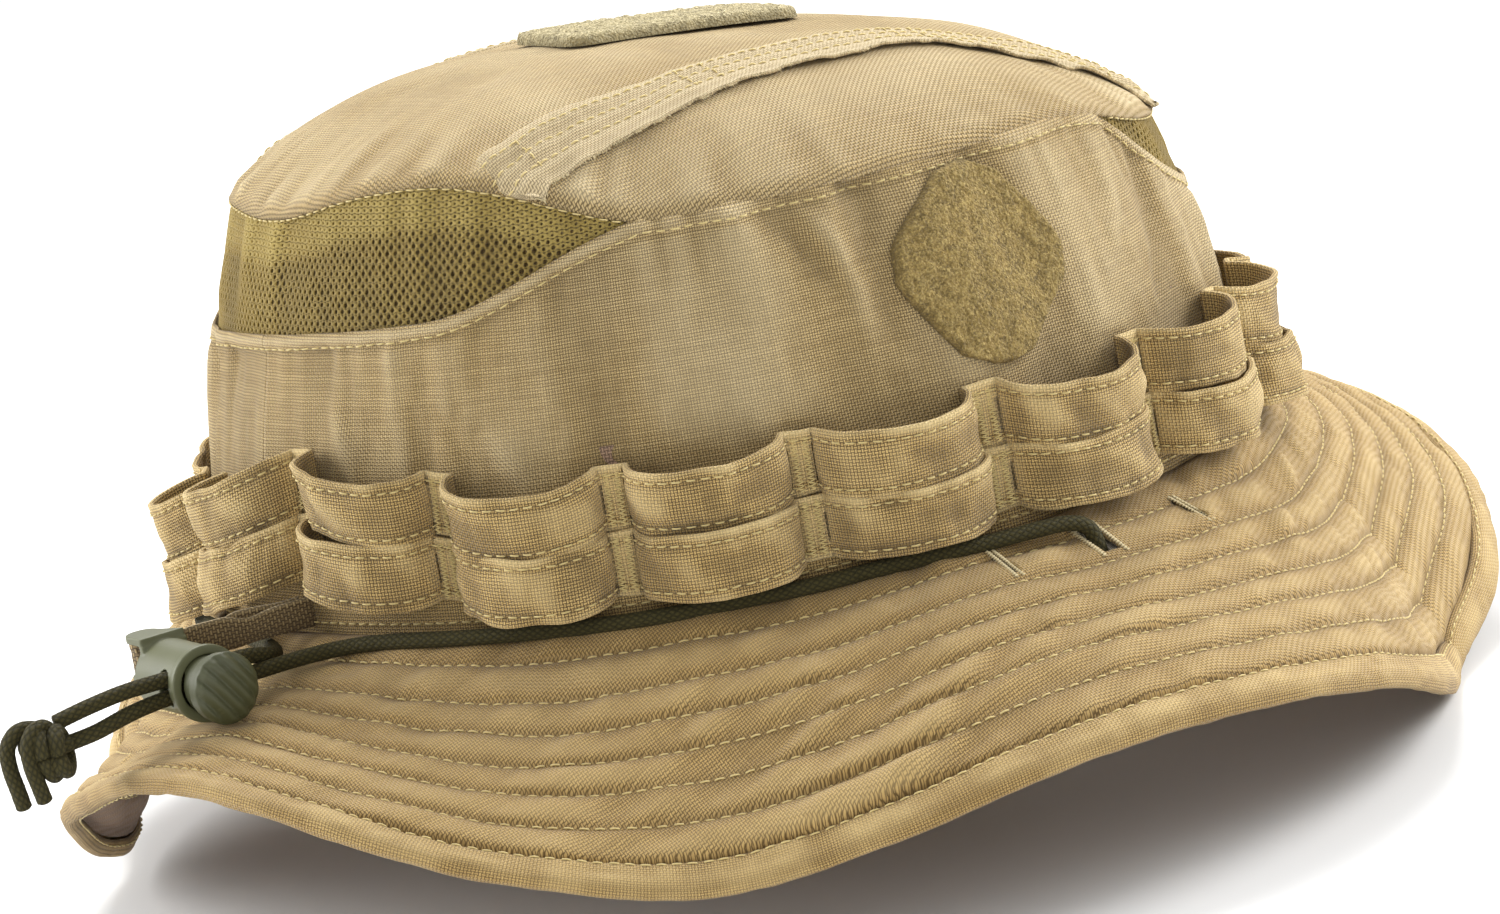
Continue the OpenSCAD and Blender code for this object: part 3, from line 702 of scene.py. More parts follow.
def moulded(name, main, pale, gloss):
    """Moulded plastic with a fine skin, paler along its sharp edges as a painted highlight."""
    n = Nodes(name)
    where = n.place()
    skin = n.noise(where, 2600.0, 2.0)
    cloud = n.noise(where, 120.0, 3.0)
    # Painted highlight: paler on the sharp convex edges, where they catch the light.
    edge = n.add("ShaderNodeNewGeometry").outputs["Pointiness"]
    edge_highlight = n.times(n.minus(edge, 0.52), 9.0, True)
    colour = n.tint(n.times(cloud, 0.5), main, pale)
    colour = n.tint(n.times(edge_highlight, 0.6), colour, pale)
    rough = n.blend(cloud, gloss, gloss + 0.14)
    return n.finish(colour, rough, skin, 0.00003, strength=0.6)


def spun_thread(name, main, dark):
    """Sewing thread, with its twist as fine noise."""
    n = Nodes(name)
    twist = n.noise(n.place(), 2600.0, 2.0)
    fade = n.noise(n.place(), 90.0, 2.0)
    colour = n.tint(twist, dark, main)
    colour = n.tint(n.times(fade, 0.35), colour, dark)
    return n.finish(colour, n.blend(twist, 0.6, 0.8), twist, 0.00005, sheen=0.2)


KHAKI = rgb(0.70, 0.515, 0.232)
KHAKI_DARK = rgb(0.30, 0.195, 0.062)
KHAKI_PALE = rgb(0.80, 0.665, 0.41)

MATERIALS = {
    "crown": woven("crown_weave", KHAKI, KHAKI_DARK, KHAKI_PALE, relief=0.24, slub=0.6,
                   dim=0.27),
    "strap": woven("strap_weave", rgb(0.74, 0.595, 0.35), rgb(0.42, 0.31, 0.145),
                   rgb(0.84, 0.71, 0.47), pitch=0.5, relief=0.12),
    "brim": woven("brim_weave", rgb(0.60, 0.408, 0.148), rgb(0.25, 0.148, 0.038),
                  rgb(0.72, 0.54, 0.25), pitch=0.54, relief=0.12, slub=0.55, dim=0.22),
    "tape": woven("tape_weave", rgb(0.64, 0.445, 0.165), rgb(0.20, 0.118, 0.03),
                  rgb(0.74, 0.565, 0.27), pitch=0.56, relief=0.22, slub=0.6),
    "under": woven("under_weave", rgb(0.50, 0.335, 0.215), rgb(0.26, 0.155, 0.095),
                   rgb(0.62, 0.45, 0.32), pitch=0.66),
    "core": woven("core_felt", rgb(0.66, 0.60, 0.48), rgb(0.4, 0.35, 0.26), rgb(0.75, 0.7, 0.6),
                  pitch=0.5),
    "webbing": woven("webbing_weave", rgb(0.50, 0.37, 0.17), rgb(0.17, 0.105, 0.04),
                     rgb(0.68, 0.56, 0.33), pitch=0.7, relief=0.2, ribs=0.3),
    "mesh": mesh_knit("vent_knit"),
    "pile": loop_pile("loop_pile", rgb(0.36, 0.245, 0.07), rgb(0.50, 0.375, 0.135)),
    # pile_top is the side patch's pile in paler, greyer colours: painted light where the top patch
    # faces up into the lamps.
    "pile_top": loop_pile("loop_pile_top", rgb(0.52, 0.43, 0.22), rgb(0.72, 0.63, 0.40)),
    "cord": braid_cord("cord_braid"),
    "housing": moulded("lock_plastic", rgb(0.085, 0.090, 0.040), rgb(0.17, 0.175, 0.095), 0.42),
    "plunger": moulded("plunger_plastic", rgb(0.046, 0.050, 0.019), rgb(0.085, 0.090, 0.040), 0.46),
    "thread": spun_thread("thread", rgb(0.74, 0.60, 0.27), rgb(0.50, 0.38, 0.14)),
    "cream": spun_thread("buttonhole_thread", rgb(0.72, 0.62, 0.38), rgb(0.46, 0.36, 0.17)),
}


# ---- Camera, made first with the cords ----

CAMERA_AZIMUTH = math.radians(-30)
CAMERA_ELEVATION = math.radians(11.5)
CAMERA_ROLL = math.radians(-10)
CAMERA_DISTANCE = 1200
CAMERA_TARGET = np.array([3.6, 0, 5.9])
SENSOR_WIDTH = 36
FOCAL_WIDTHS = 6280 / 1500


def add_camera():
    """The photograph's view: its angle, its roll and its long lens, in widths of the frame."""
    azimuth, elevation, roll = CAMERA_AZIMUTH, CAMERA_ELEVATION, CAMERA_ROLL
    back = np.array([math.sin(azimuth) * math.cos(elevation),
                     -math.cos(azimuth) * math.cos(elevation), math.sin(elevation)])
    right = np.array([math.cos(azimuth), math.sin(azimuth), 0])
    up = np.cross(back, right)
    side = right * math.cos(roll) + up * math.sin(roll)
    over = up * math.cos(roll) - right * math.sin(roll)
    data = bpy.data.cameras.new("camera")
    data.sensor_width = SENSOR_WIDTH
    data.lens = FOCAL_WIDTHS * SENSOR_WIDTH
    data.clip_start = 0.05
    camera = bpy.data.objects.new("camera", data)
    where = place(CAMERA_TARGET + back * CAMERA_DISTANCE)
    rows = [[side[k], over[k], back[k], where[k]] for k in range(3)]
    camera.matrix_world = Matrix(rows + [[0, 0, 0, 1]])
    bpy.context.scene.collection.objects.link(camera)
    bpy.context.scene.camera = camera


# ---- Cords ----

RIGHT_ROUTE = [
    (-124, -26, 0.1), (-119, -26, 0.1), (-112, -27, 0.4), (-105, -30, 0.8), (-100, -36, 1.3),
    (-95, -45, 1.5), (-89, -54, 1.4), (-81, -63, 1.2), (-72, -71, 1), (-62, -78, 1),
    (-51, -84, 1.2), (-40, -89, 1.3), (-29, -92, 1.5), (-18, -95, 1.5), (-7, -98, 1.6),
    (2, -100, 1.7), (7.5, -101, 1.4), (10.8, -101.8, -0.2), (12, -102.3, -4), (12, -102.4, -9.5)]
LEFT_ROUTE = [
    (-124, -26, 3.5), (-120, -25.5, 3.2), (-115, -23, 1.8), (-111, -18, 0.5), (-108.5, -11, 0.2),
    (-107, -3, 0), (-106, 6, 0), (-105, 16, -0.4), (-102, 27, -1.5), (-98, 38, -3),
    (-92, 49, -3.8), (-84, 60, -3.4), (-74, 69, -2.1), (-63, 77, -0.3), (-51, 84, 0.8),
    (-38, 90, 1.3), (-24, 94, 1.4), (-9, 98, 1.6), (2, 100, 1.7), (7.5, 101, 1.4),
    (10.8, 101.8, -0.2), (12, 102.3, -5), (12, 102.4, -10.8)]
UPPER_TAIL_ROUTE = [(-124.3, -26, 3.5), (-131, -26, 3.5), (-138, -26, 3.5), (-145, -25.6, 3.4),
                    (-152, -24.5, 2.4), (-158, -23, 1)]
LOWER_TAIL_ROUTE = [(-124.3, -26, 0.1), (-131, -26, 0.1), (-138, -26, 0.1), (-145, -26.4, -0.5),
                    (-152, -26, -2), (-158, -24, -3)]
KNOT_CENTRE = np.array([-162.5, -23.5, -3.5])


def trefoil(centre, wide, high):
    """A wrap of cord round a knot's middle, open for a short way."""
    gap = 0.35
    a = np.linspace(gap, 2 * np.pi - gap, 90)
    x = np.sin(a) + 2 * np.sin(2 * a)
    y = np.cos(a) - 2 * np.cos(2 * a)
    return centre + np.stack([x / 3 * wide, y / 3 * wide, -np.sin(3 * a) * high], -1)


def stopper_knot(name, side):
    """The knot under the brim that keeps a strand's front end in its slot."""
    low, high = hat_box("stopper_knot_" + name)
    centre = (low + high) / 2
    radius = (high[2] - low[2]) / 2
    core = trefoil(centre, radius * 0.62, radius * 0.42)
    end = np.array([centre + [0, 0, 0.2], centre + [0.4, side * 1.0, -radius + 0.5]])
    knot = add_tube("cord_stopper_knot_" + name, [core, curve_points(end, 0.5)], CORD_D / 2 * 0.92,
                    16, material=MATERIALS["cord"], slot="cord")
    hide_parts("stopper_knot_" + name)
    return knot


def tail_knot():
    """Both tails tied together in an overhand knot, with two short ends that hang over its top.

    Lengths are along the tails' own run, towards the wearer's right, and up.
    """
    run = np.array([-0.866, 0.5, 0])
    near = np.array([-0.5, -0.866, 0])
    axes = np.array([run, near, [0, 0, 1]])
    loops = []
    for shift, lean, size in ((-4.4, 0.5, 3.5), (-1.9, 0.8, 3.9), (-3.2, -0.9, 3.4)):
        a = np.linspace(0, 2 * np.pi, 72)
        loops.append(np.stack([shift + lean * np.sin(a + 0.6), size * np.cos(a),
                               size * np.sin(a)], -1))
    ends = [
        [(-3.6, -2.8, 1.5), (-2.2, -1.0, 4.4), (-0.4, 1.4, 4.7), (0.9, 3.2, 2.6), (0.9, 3.9, -1.0),
         (0.3, 3.7, -4.6), (-0.2, 3.2, -7.8)],
        [(-2.4, -2.4, 3.0), (0.6, -0.9, 4.8), (3.0, 0.5, 4.6), (4.8, 1.3, 2.2), (4.9, 1.7, -1.4),
         (4.3, 1.8, -5.2), (3.8, 1.5, -8.8)],
        [(-6.0, -1.5, 1.0), (-4.0, 0.5, 0.6), (-1.6, 0.4, -0.6), (0.6, 0.2, -1.0), (1.8, -0.6, 1.6),
         (1.2, -1.0, 3.6)],
    ]
    paths = loops + [curve_points(end, 0.5) for end in ends]
    knot = add_tube("cord_tail_knot", [KNOT_CENTRE + path @ axes for path in paths], CORD_D / 2,
                    20, material=MATERIALS["cord"], body="cord_tails", slot="cord")
    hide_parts("tail_knot")
    return knot


def free_cord(name, route, node, body):
    """A cord along a route, from the lock to its knot."""
    path = curve_points(route, 0.4)
    cord = add_tube(name, [path], CORD_D / 2, 24, material=MATERIALS["cord"], body=body,
                    slot="cord")
    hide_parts(node)


def add_cords():
    knots = [stopper_knot("right", -1), stopper_knot("left", 1)]
    free_cord("cord_strand_right", RIGHT_ROUTE, "drawcord_right", "hat")
    free_cord("cord_strand_left", LEFT_ROUTE, "drawcord_left", "hat")
    knot = tail_knot()
    free_cord("cord_tail_upper_braid", UPPER_TAIL_ROUTE, "cord_tail_upper", "cord_tails")
    free_cord("cord_tail_lower_braid", LOWER_TAIL_ROUTE, "cord_tail_lower", "cord_tails")


# ---- Crown ----

CLOTH = 0.5
DEGREE = math.pi * (CROWN_LENGTH + CROWN_WIDTH) / 2 / 360


def wall_folds(t, z):
    """How far the wall's cloth stands out: gathers under the seam, and soft vertical folds."""
    k = z / seam_z(t)
    below = np.maximum(0, panel_top(t) - z)
    gather = noise(t / 3.6, 0.3 * z / 20, 11, 100) + 0.6 * noise(t / 2.2, z / 30, 12, 164)
    gather = np.sign(gather) * np.abs(gather) ** 1.3
    soft = (noise(t / 8.0 + 0.25 * noise(t / 9, z / 18, 16, 40), z / 46, 13, 45)
            + 0.6 * noise(t / 4.5, z / 34 + 5, 14, 80))
    slack = smooth(k / 0.2) * smooth((1 - k) / 0.05)
    fold = 1.5 * gather * np.exp(-below / 15) + 1.25 * soft * (0.35 + 0.65 * smooth(k / 0.5))
    fine = 0.22 * noise(t / 1.6, z / 5, 15, 225)
    rim = 1 - 0.85 * by_vent(t) * smooth((5 - below) / 4)
    return (fold + fine + wall_creases(t, z)) * slack * rim


# Pressed creases in the wall: the angle and height of both ends, the width and the depth in mm
WALL_CREASES = (
    (-110, 66, -101, 50, 2.4, -1.3), (-104, 66, -99, 40, 2.6, 0.9), (-95, 68, -99, 52, 2.0, -0.8),
    (-128, 26, -120, 12, 3.0, -1.2), (-112, 30, -104, 14, 2.6, -0.9),
    (-143, 36, -139, 14, 3.2, 0.9), (-166, 42, -163, 20, 2.4, 1.0),
    (-155, 40, -157, 16, 2.2, 0.8), (-150, 40, -147, 24, 2.0, -0.8),
    (-62, 66, -66, 44, 2.6, 0.9), (-52, 60, -60, 30, 2.8, -1.0), (-74, 30, -66, 12, 2.8, -1.0),
    (-40, 44, -46, 18, 2.6, 0.9), (60, 64, 70, 40, 2.8, -1.1), (86, 66, 92, 44, 2.4, 0.9),
    (104, 66, 112, 46, 2.6, -1.2), (122, 58, 118, 26, 3.0, 0.9), (140, 30, 132, 12, 2.8, -1.0),
    (160, 40, 156, 20, 2.2, 0.9), (40, 46, 36, 20, 2.6, 0.9), (74, 28, 66, 12, 2.8, -1.0),
)


def wall_creases(t, z):
    """Height of the pressed creases, which fade out towards both ends."""
    total = np.zeros(np.broadcast(t, z).shape)
    for t0, z0, t1, z1, width, depth in WALL_CREASES:
        run, rise = (t1 - t0) * DEGREE, z1 - z0
        x, y = turn(t - t0) * DEGREE, z - z0
        k = (x * run + y * rise) / (run ** 2 + rise ** 2)
        off = (x * rise - y * run) / math.hypot(run, rise) + 2.2 * np.sin(k * 3.1)
        ends = smooth((k + 0.15) / 0.4) * smooth((1.25 - k) / 0.5)
        total += depth * ridge(off, 0, width) * ends
    return total


def wall_surface(t, z):
    """The wall's outer skin, with its folds, the rolled edge under the vents and the seam."""
    grow = wall_folds(t, z)
    below = panel_top(t) - z
    vent = by_vent(t)
    hem = 0.42 * smooth(below / 0.4) * smooth((3.3 - below) / 1.5) - 0.12 * ridge(below, 3.0, 0.5)
    seam = (-0.55 * smooth((1.1 - below) / 1.1) + 0.12 * ridge(below, 2.4, 0.9)
            - 0.18 * ridge(below, 3.4, 0.5))
    joint = 0.2 * ridge(turn(t - 180) * DEGREE, 0.6, 1.6) + 0.2 * ridge(turn(t) * DEGREE, 0.6, 1.6)
    return wall(t, z, grow + vent * hem + (1 - vent) * seam + joint)


def side_name(side):
    return "right" if side < 0 else "left"


def side_panel(side):
    """Half of the wall, with rows close together under its upper edge for the seam and the hem."""
    cols = 480
    t = np.linspace(-179.95, -0.05, cols) if side < 0 else np.linspace(0.05, 179.95, cols)
    near = np.array([0, 0.25, 0.5, 0.9, 1.4, 2, 2.6, 3.1, 3.5, 3.9, 4.3, 4.9, 5.7, 6.8, 8])
    rest = np.linspace(0, 1, 42)[1:]
    foot = 0.3
    top_edge = panel_top(t)
    down = np.concatenate([np.broadcast_to(near[:, None], (len(near), cols)),
                           near[-1] + rest[:, None] * (top_edge - near[-1] - foot)[None]])
    z = (top_edge[None] - down)[::-1]
    tt = np.broadcast_to(t, z.shape)
    p = wall_surface(tt, z)
    uv = np.stack([tt * DEGREE / 1000, z / 1000], -1)
    below = top_edge[None] - z
    folds = wall_folds(tt, z)
    # Painted light and shade: paler on the folds and darker in their hollows, darker low down by
    # the loops and in the seam's grooves, and a painted highlight on the rolled edge under the
    # vents.
    tone = 0.52 + 0.09 * np.clip(folds, -1.4, 1.4) - 0.2 * smooth((34 - z) / 16)
    tone -= 0.12 * (ridge(below, 3.4, 0.6) + ridge(below, 0, 0.4))
    tone += 0.14 * by_vent(tt) * ridge(below, 1.2, 0.8)
    panel = shell("crown_side_" + side_name(side), p, CLOTH, uv, tone,
                  material=MATERIALS["crown"], slot="crown_cloth")
    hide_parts("side_panel_" + side_name(side))


def top_skin(xy, lift=0):
    """The top's outer skin at plan positions, with its gathers and a rim that turns down over the
    seam. It also gives the spread from the middle and the height of the gathers."""
    x, y = xy[..., 0], xy[..., 1]
    over = np.maximum(1, reach_of(x, y))
    x, y = x / over, y / over
    r, t = spread(x, y), seam_angle(x, y)
    gather = noise(t / 3.6, r * 3, 21, 100) + 0.6 * noise(t / 2.2, r * 6, 22, 164)
    sag = noise(x / 26, y / 22, 23) + 0.5 * noise(x / 12, y / 12, 24)
    ends = smooth((r - 0.72) / 0.28)
    soft = (0.9 * gather * ends * (0.35 + 0.65 * by_vent(t)) * smooth((1 - r) / 0.02)
            + 0.6 * sag * (1 - ends))
    rim = smooth((r - 0.975) / 0.025)
    q = np.stack([x, y, top_z(x, y) + soft + lift - 1.5 * rim * rim], -1)
    return q + outward(t) * (0.6 * rim * rim + 0.8 * rim * lift)[..., None], r, soft


def top_panel(name, f0, f1, rows, node):
    """A panel of the top between two straight lines, with its columns closer at both ends."""
    f = np.linspace(f0, f1, rows)[:, None]
    even = np.linspace(0, 1, 190)
    u = mix((1 - np.cos(np.pi * even)) / 2, even, 0.6)[None]
    f, u = np.broadcast_arrays(f, u)
    p, r, soft = top_skin(top(f, u)[..., :2])
    uv = p[..., :2] / 1000
    # Painted light and shade: paler on the raised gathers and darker in their hollows, and darker
    # where the rim turns down over the seam.
    tone = 0.54 + 0.15 * np.clip(soft, -1, 1) - 0.2 * smooth((r - 0.985) / 0.015)
    piece = shell(name, p, CLOTH, uv, tone, material=MATERIALS["crown"], slot="crown_cloth")
    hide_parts(node)


STRAP_HALF = 6.0
STRAP_QUILT = 3.4


def strap_line(side, s):
    """Plan position of the strap's middle from the back to the front, and its way sideways."""
    q = top(np.full_like(s, side * STRAP_ANGLE), s)
    along = unit(np.gradient(q[:, :2], axis=0))
    return q[:, :2], np.stack([-along[:, 1], along[:, 0]], -1) * side


def strap_point(side, s, w, lift):
    """A point on the top at fraction s along the strap and w mm across, away from the middle."""
    middle, across = strap_line(side, s)
    return top_skin(middle[None] + across[None] * w[..., None], lift)[0]


def strap_lift(side, s, w):
    """Height of the strap's skin over the top: a folded ridge inside, a lifted raw edge outside."""
    fold = 0.3 * ridge(w, -STRAP_HALF + 1.1, 1.3) - 0.5 * smooth((-STRAP_HALF + 0.9 - w) / 0.9)
    quilt = 0.12 * np.cos(w * 2 * np.pi / STRAP_QUILT)
    wavy = 0.6 + 0.6 * noise(s * 26, 0 * s, 31 + side)
    curl = 0.75 * smooth((w - STRAP_HALF + 2.4) / 2.4) * wavy
    pucker = 0.14 * noise(s * 70, w / 2.5, 33)
    ends = -0.3 + 1.3 * smooth((0.5 - np.abs(s - 0.5)) / 0.02)
    return (0.75 + fold + quilt + curl + pucker) * ends


def on_strap(side, s, w):
    """Points of the strap's skin at fractions s along it and w mm across it."""
    w = w + np.zeros((1, len(s)))
    return strap_point(side, s, w, strap_lift(side, s[None], w))


def strap_thread(side, s):
    """Rows of stitches along the strap, and pairs and singles across it."""
    thread = Thread()
    up = np.array([0.0, 0, 1])
    for k, at in enumerate((-3.6, -0.6, 2.6)):
        row = on_strap(side, s, at)[0]
        thread.row(row, np.broadcast_to(up, row.shape), 2.4, seed=40 + k)
    across = np.linspace(-4.4, 3.6, 20)
    for at in (0.06, 0.3, 0.34, 0.62, 0.66, 0.94):
        row = on_strap(side, s, across[:, None])[:, int(at * len(s))]
        thread.row(row, np.broadcast_to(up, row.shape), 2.0, seed=int(at * 100))
    thread.build("strap_thread_" + side_name(side), material=MATERIALS["thread"], slot="thread")


def strap_fray(side, edge, inner):
    """Loose yarn ends along the strap's raw edge. inner is a line a little inside that edge."""
    fray = Thread()
    rng = np.random.default_rng(50 + side)
    for k in rng.uniform(2, len(edge) - 3, 420):
        i = int(k)
        a = mix(edge[i], edge[i + 1], k - i)
        out = unit(a - mix(inner[i], inner[i + 1], k - i))
        bend = rng.uniform(-0.5, 0.5, 3)
        reach = rng.uniform(0.25, 0.9)
        path = np.array([a - out * 0.4, a, a + out * 0.5 * reach + bend * 0.2 * reach,
                         a + (out + bend) * reach - [0, 0, 0.25 * reach]])
        path[:, 2] -= 0.2
        fray.tube(path, np.broadcast_to([0.0, 0, 1], path.shape), 0.09)
    fray.build("strap_fray_" + side_name(side), material=MATERIALS["cream"], slot="strap_cloth")


def top_strap(side):
    """A felled strap over a seam of the top, with a ragged outer edge."""
    name = side_name(side)
    s = np.linspace(0, 1, 260)
    w = np.linspace(-STRAP_HALF, STRAP_HALF + 0.8, 26)[:, None]
    ragged = 0.35 * noise(s * 30, 0, 35 + side) + 0.22 * noise(s * 90, 0, 36 + side)
    w = w + ragged[None] * smooth((w - 3) / 4)
    lift = strap_lift(side, s[None], w)
    p = strap_point(side, s, w, lift)
    if side < 0:
        p = p[::-1]
        w = w[::-1]
    uv = np.stack([np.broadcast_to(s * 0.17, w.shape), w / 1000], -1)
    # Painted light and shade: paler on the quilted ridges and the folded edge, darker in the
    # grooves between the ridges.
    tone = 0.5 + 0.08 * np.cos(w * 2 * np.pi / STRAP_QUILT) + 0.1 * ridge(w, -STRAP_HALF + 1, 1)
    strap = shell("strap_cloth_" + name, p, 0.6, uv, tone,
                  material=MATERIALS["strap"], slot="strap_cloth")
    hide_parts("top_strap_" + name)
    strap_thread(side, s)
    if side < 0:
        strap_fray(side, p[0], p[3])
    else:
        strap_fray(side, p[-1], p[-4])


def mesh_vent(name, middle):
    """Perforated knit: a staggered grid of cells, each with an oval hole. The rear vent is lined
    under its seam, so its holes are smaller and paler there. girth is the crown's girth at the
    vents, as a share of its foot's."""
    rear = middle == 180
    side, lining = (1, 1) if rear else (-1, 0)
    across, rise = 1.85, 1.08
    girth = 0.93
    step = across / DEGREE / girth
    d_all = np.arange(-VENT_HALF_ANGLE + 1, VENT_HALF_ANGLE - 1, step)
    z_all = np.arange(VENT_LOW - FRONT_VENT_DROP - 4, SEAM_HEIGHT + BACK_RISE, rise)
    corners = 8
    a = 2 * np.pi * (np.arange(corners) + 0.5) / corners
    box = np.stack([np.clip(1.3 * np.cos(a), -1, 1), np.clip(1.3 * np.sin(a), -1, 1)], -1) * 0.5
    oval = np.stack([0.27 * np.cos(a), 0.45 * np.sin(a)], -1)
    oval[:, 0] += 0.1 * oval[:, 1]
    if not rear:
        oval[:, 0] *= 1.35
    rng = np.random.default_rng(60 + middle)
    points, faces = [], []
    index = {}

    def corner(d, z):
        """A point of the shared lattice between cells."""
        key = (round(d * 500), round(z * 500))
        if key not in index:
            index[key] = len(points)
            points.append((d, z))
        return index[key]

    for j, z0 in enumerate(z_all):
        for d0 in d_all + (j % 2) * step / 2:
            t0 = middle + d0
            if z0 - rise / 2 < vent_edge(t0, side * d0) - 2.4:
                continue
            if z0 + rise / 2 > seam_z(t0) - 0.3 or abs(d0) > VENT_HALF_ANGLE - 1.5:
                continue
            outer = [corner(d0 + q[0] * step, z0 + q[1] * rise) for q in box]
            start = len(points)
            lined = lining * smooth((z0 - seam_z(t0) + 11) / 5)
            open_by = (1 - 0.42 * lined) * rng.uniform(0.8, 1.12)
            points.extend((d0 + q[0] * step * open_by, z0 + q[1] * rise * open_by) for q in oval)
            for k in range(corners):
                m = (k + 1) % corners
                faces.append([outer[k], outer[m], start + m, start + k])
    dz = np.array(points)
    t, z = middle + dz[:, 0], dz[:, 1]
    folds = 0.8 * noise(t / 4.5, z / 40, 61, 80) + 0.5 * noise(t / 2.6, z / 25, 62, 138)
    above = z - vent_edge(t, side * turn(t - middle))
    grow = -0.8 + 1.0 * folds * smooth((above - 0.5) / 6) * smooth((seam_z(t) - z) / 4)
    outer = wall(t, z, grow)
    inner = wall(t, z, grow - 0.45)
    all_faces, _ = thicken(np.array(faces), len(outer))
    flat_uv = np.stack([t * DEGREE / 1000, z / 1000], -1)
    uvs = np.concatenate([flat_uv, flat_uv])[all_faces].reshape(-1, 2)
    # Painted light and shade: paler on the folds and darker in their hollows, and the inner skin
    # darker still; the paler band is the lining behind the holes.
    tone = 0.44 + 0.14 * np.clip(folds, -1, 1) + 0.22 * lining * smooth((z - seam_z(t) + 11) / 4)
    tones = np.concatenate([tone, tone - 0.2])
    vent = add_mesh("vent_mesh_" + name, np.concatenate([outer, inner]), all_faces, uvs, tones,
                    material=MATERIALS["mesh"], slot="mesh")
    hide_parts(name + "_mesh_vent")


def pile_patch(name, at, half_width, half_height, thick, cols, rows, material, node):
    """A slab of loop pile. v goes from -1 at its foot to 1 at its top, half_width(v) is its
    outline, and at(w, v) gives the place under the pile w mm from its middle line."""
    sv, vv = np.meshgrid(np.linspace(-1, 1, cols), np.linspace(-1, 1, rows))
    w = half_width(vv)
    base, normal = at(sv * w, vv)
    inset = np.minimum((1 - np.abs(sv)) * w, (1 - np.abs(vv)) * half_height)
    dome = np.sqrt(np.clip(1 - (1 - np.clip(inset / 1.5, 0, 1)) ** 2, 0, 1))
    fuzz = (0.22 * noise(sv * w / 0.5, vv * half_height / 0.5, 71)
            + 0.18 * noise(sv * w / 1.4, vv * half_height / 1.4, 72))
    height = 0.15 + thick * dome + fuzz * dome
    outer = base + normal * height[..., None]
    inner = base + normal * 0.1
    faces, _, _ = grid_faces(rows, cols)
    all_faces, _ = thicken(faces, rows * cols)
    flat = np.stack([sv * w, vv * half_height], -1) / 1000
    uv = np.concatenate([flat.reshape(-1, 2)] * 2)[all_faces].reshape(-1, 2)
    # Painted light and shade: paler where the pile stands higher, darker round the edge where it
    # slopes down.
    tone = 0.5 + 0.5 * fuzz - 0.3 * (1 - dome)
    tones = np.concatenate([tone.ravel(), tone.ravel()])
    piece = add_mesh(name, np.concatenate([outer.reshape(-1, 3), inner.reshape(-1, 3)]), all_faces,
                     uv, tones, material=material, slot="loop_pile")
    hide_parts(node)


def add_patches():
    """The rectangle of pile on the top, and the blunt diamond on the wearer's right."""
    low, high = hat_box("top_patch")
    half_x, half_y = (high[0] - low[0]) / 2, (high[1] - low[1]) / 2
    corner = 5

    def rounded(v):
        over = np.maximum(0, np.abs(v) * half_x - (half_x - corner))
        return half_y - corner + np.sqrt(np.maximum(0.01, corner ** 2 - over ** 2))

    def on_top(w, v):
        x, y = v * half_x, -w
        p = np.stack([x, y, top_z(x, y) + 0.4], -1)
        return p, np.broadcast_to([0.0, 0, 1], p.shape)

    pile_patch("patch_pile_top", on_top, rounded, half_x, 2.0, 90, 150,
               MATERIALS["pile_top"], "top_patch")
    half_w, half_z = SIDE_PATCH_HALF

    def diamond(v):
        """A diamond with blunt, rounded corners."""
        k = np.abs(v)
        wide = np.sqrt((0.5 * np.maximum(0, k - 0.12) / 0.88) ** 2 + 0.004) * 2 * 0.73
        return half_w * np.maximum(0.02, 1.02 - wide - 0.2 * smooth((k - 0.88) / 0.12))

    def on_side(w, v):
        """The diamond leans forward by the patch's tilt."""
        up = v * half_z
        z = SIDE_PATCH_Z + up * math.cos(SIDE_PATCH_TILT) - w * math.sin(SIDE_PATCH_TILT)
        along = w * math.cos(SIDE_PATCH_TILT) + up * math.sin(SIDE_PATCH_TILT)
        t = SIDE_PATCH_ANGLE + along / (CROWN_WIDTH / 2) * 180 / np.pi * FLAT_SIDE
        p = wall(t, z, wall_folds(t, z) * 0.8 + 0.35)
        return p, outward(t)

    pile_patch("patch_pile_side", on_side, diamond, half_z, 1.7, 100, 120,
               MATERIALS["pile"], "side_patch")


def ring_band(name, low, high, grow, thick, rows, material, slot, node, foot_tone, tone_rise, puff):
    """A band round the wall, between two heights. Its tone rises by tone_rise for each mm."""
    cols = 720
    t = np.arange(cols) * 360 / cols - 180
    z = np.linspace(low, high, rows)[:, None]
    tt, zz = np.broadcast_arrays(t[None], z)
    wave = noise(tt / 5, zz / 9, 81, 72) * puff
    p = wall(tt, zz, grow + wave)
    u = (np.arange(cols + 1) * 360 / cols * DEGREE / 1000)[None]
    uv = np.stack(np.broadcast_arrays(u, z / 1000), -1)
    tone = foot_tone + tone_rise * zz
    piece = shell(name, p, thick, uv, tone, wrap=True, material=material, slot=slot)
    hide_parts(node)


def crown_thread():
    """Topstitching under the top seam, round the vents, and at the crown's foot."""
    thread = Thread()
    t = np.linspace(-180, 180, 1400)
    thread.row(wall_surface(t, panel_top(t) - 2.6), outward(t), 2.6, seed=90)
    for middle in (0, 180):
        d = np.linspace(-VENT_HALF_ANGLE + 2, VENT_HALF_ANGLE - 2, 420)
        tt = middle + d
        thread.row(wall(tt, seam_z(tt) - 1.9, -0.35), outward(tt), 2.4, seed=91)
    thread.row(wall(t, 3.2, 0.95), outward(t), 2.6, seed=92)
    thread.build("crown_thread", material=MATERIALS["thread"], slot="thread")


# ---- Foliage loops ----

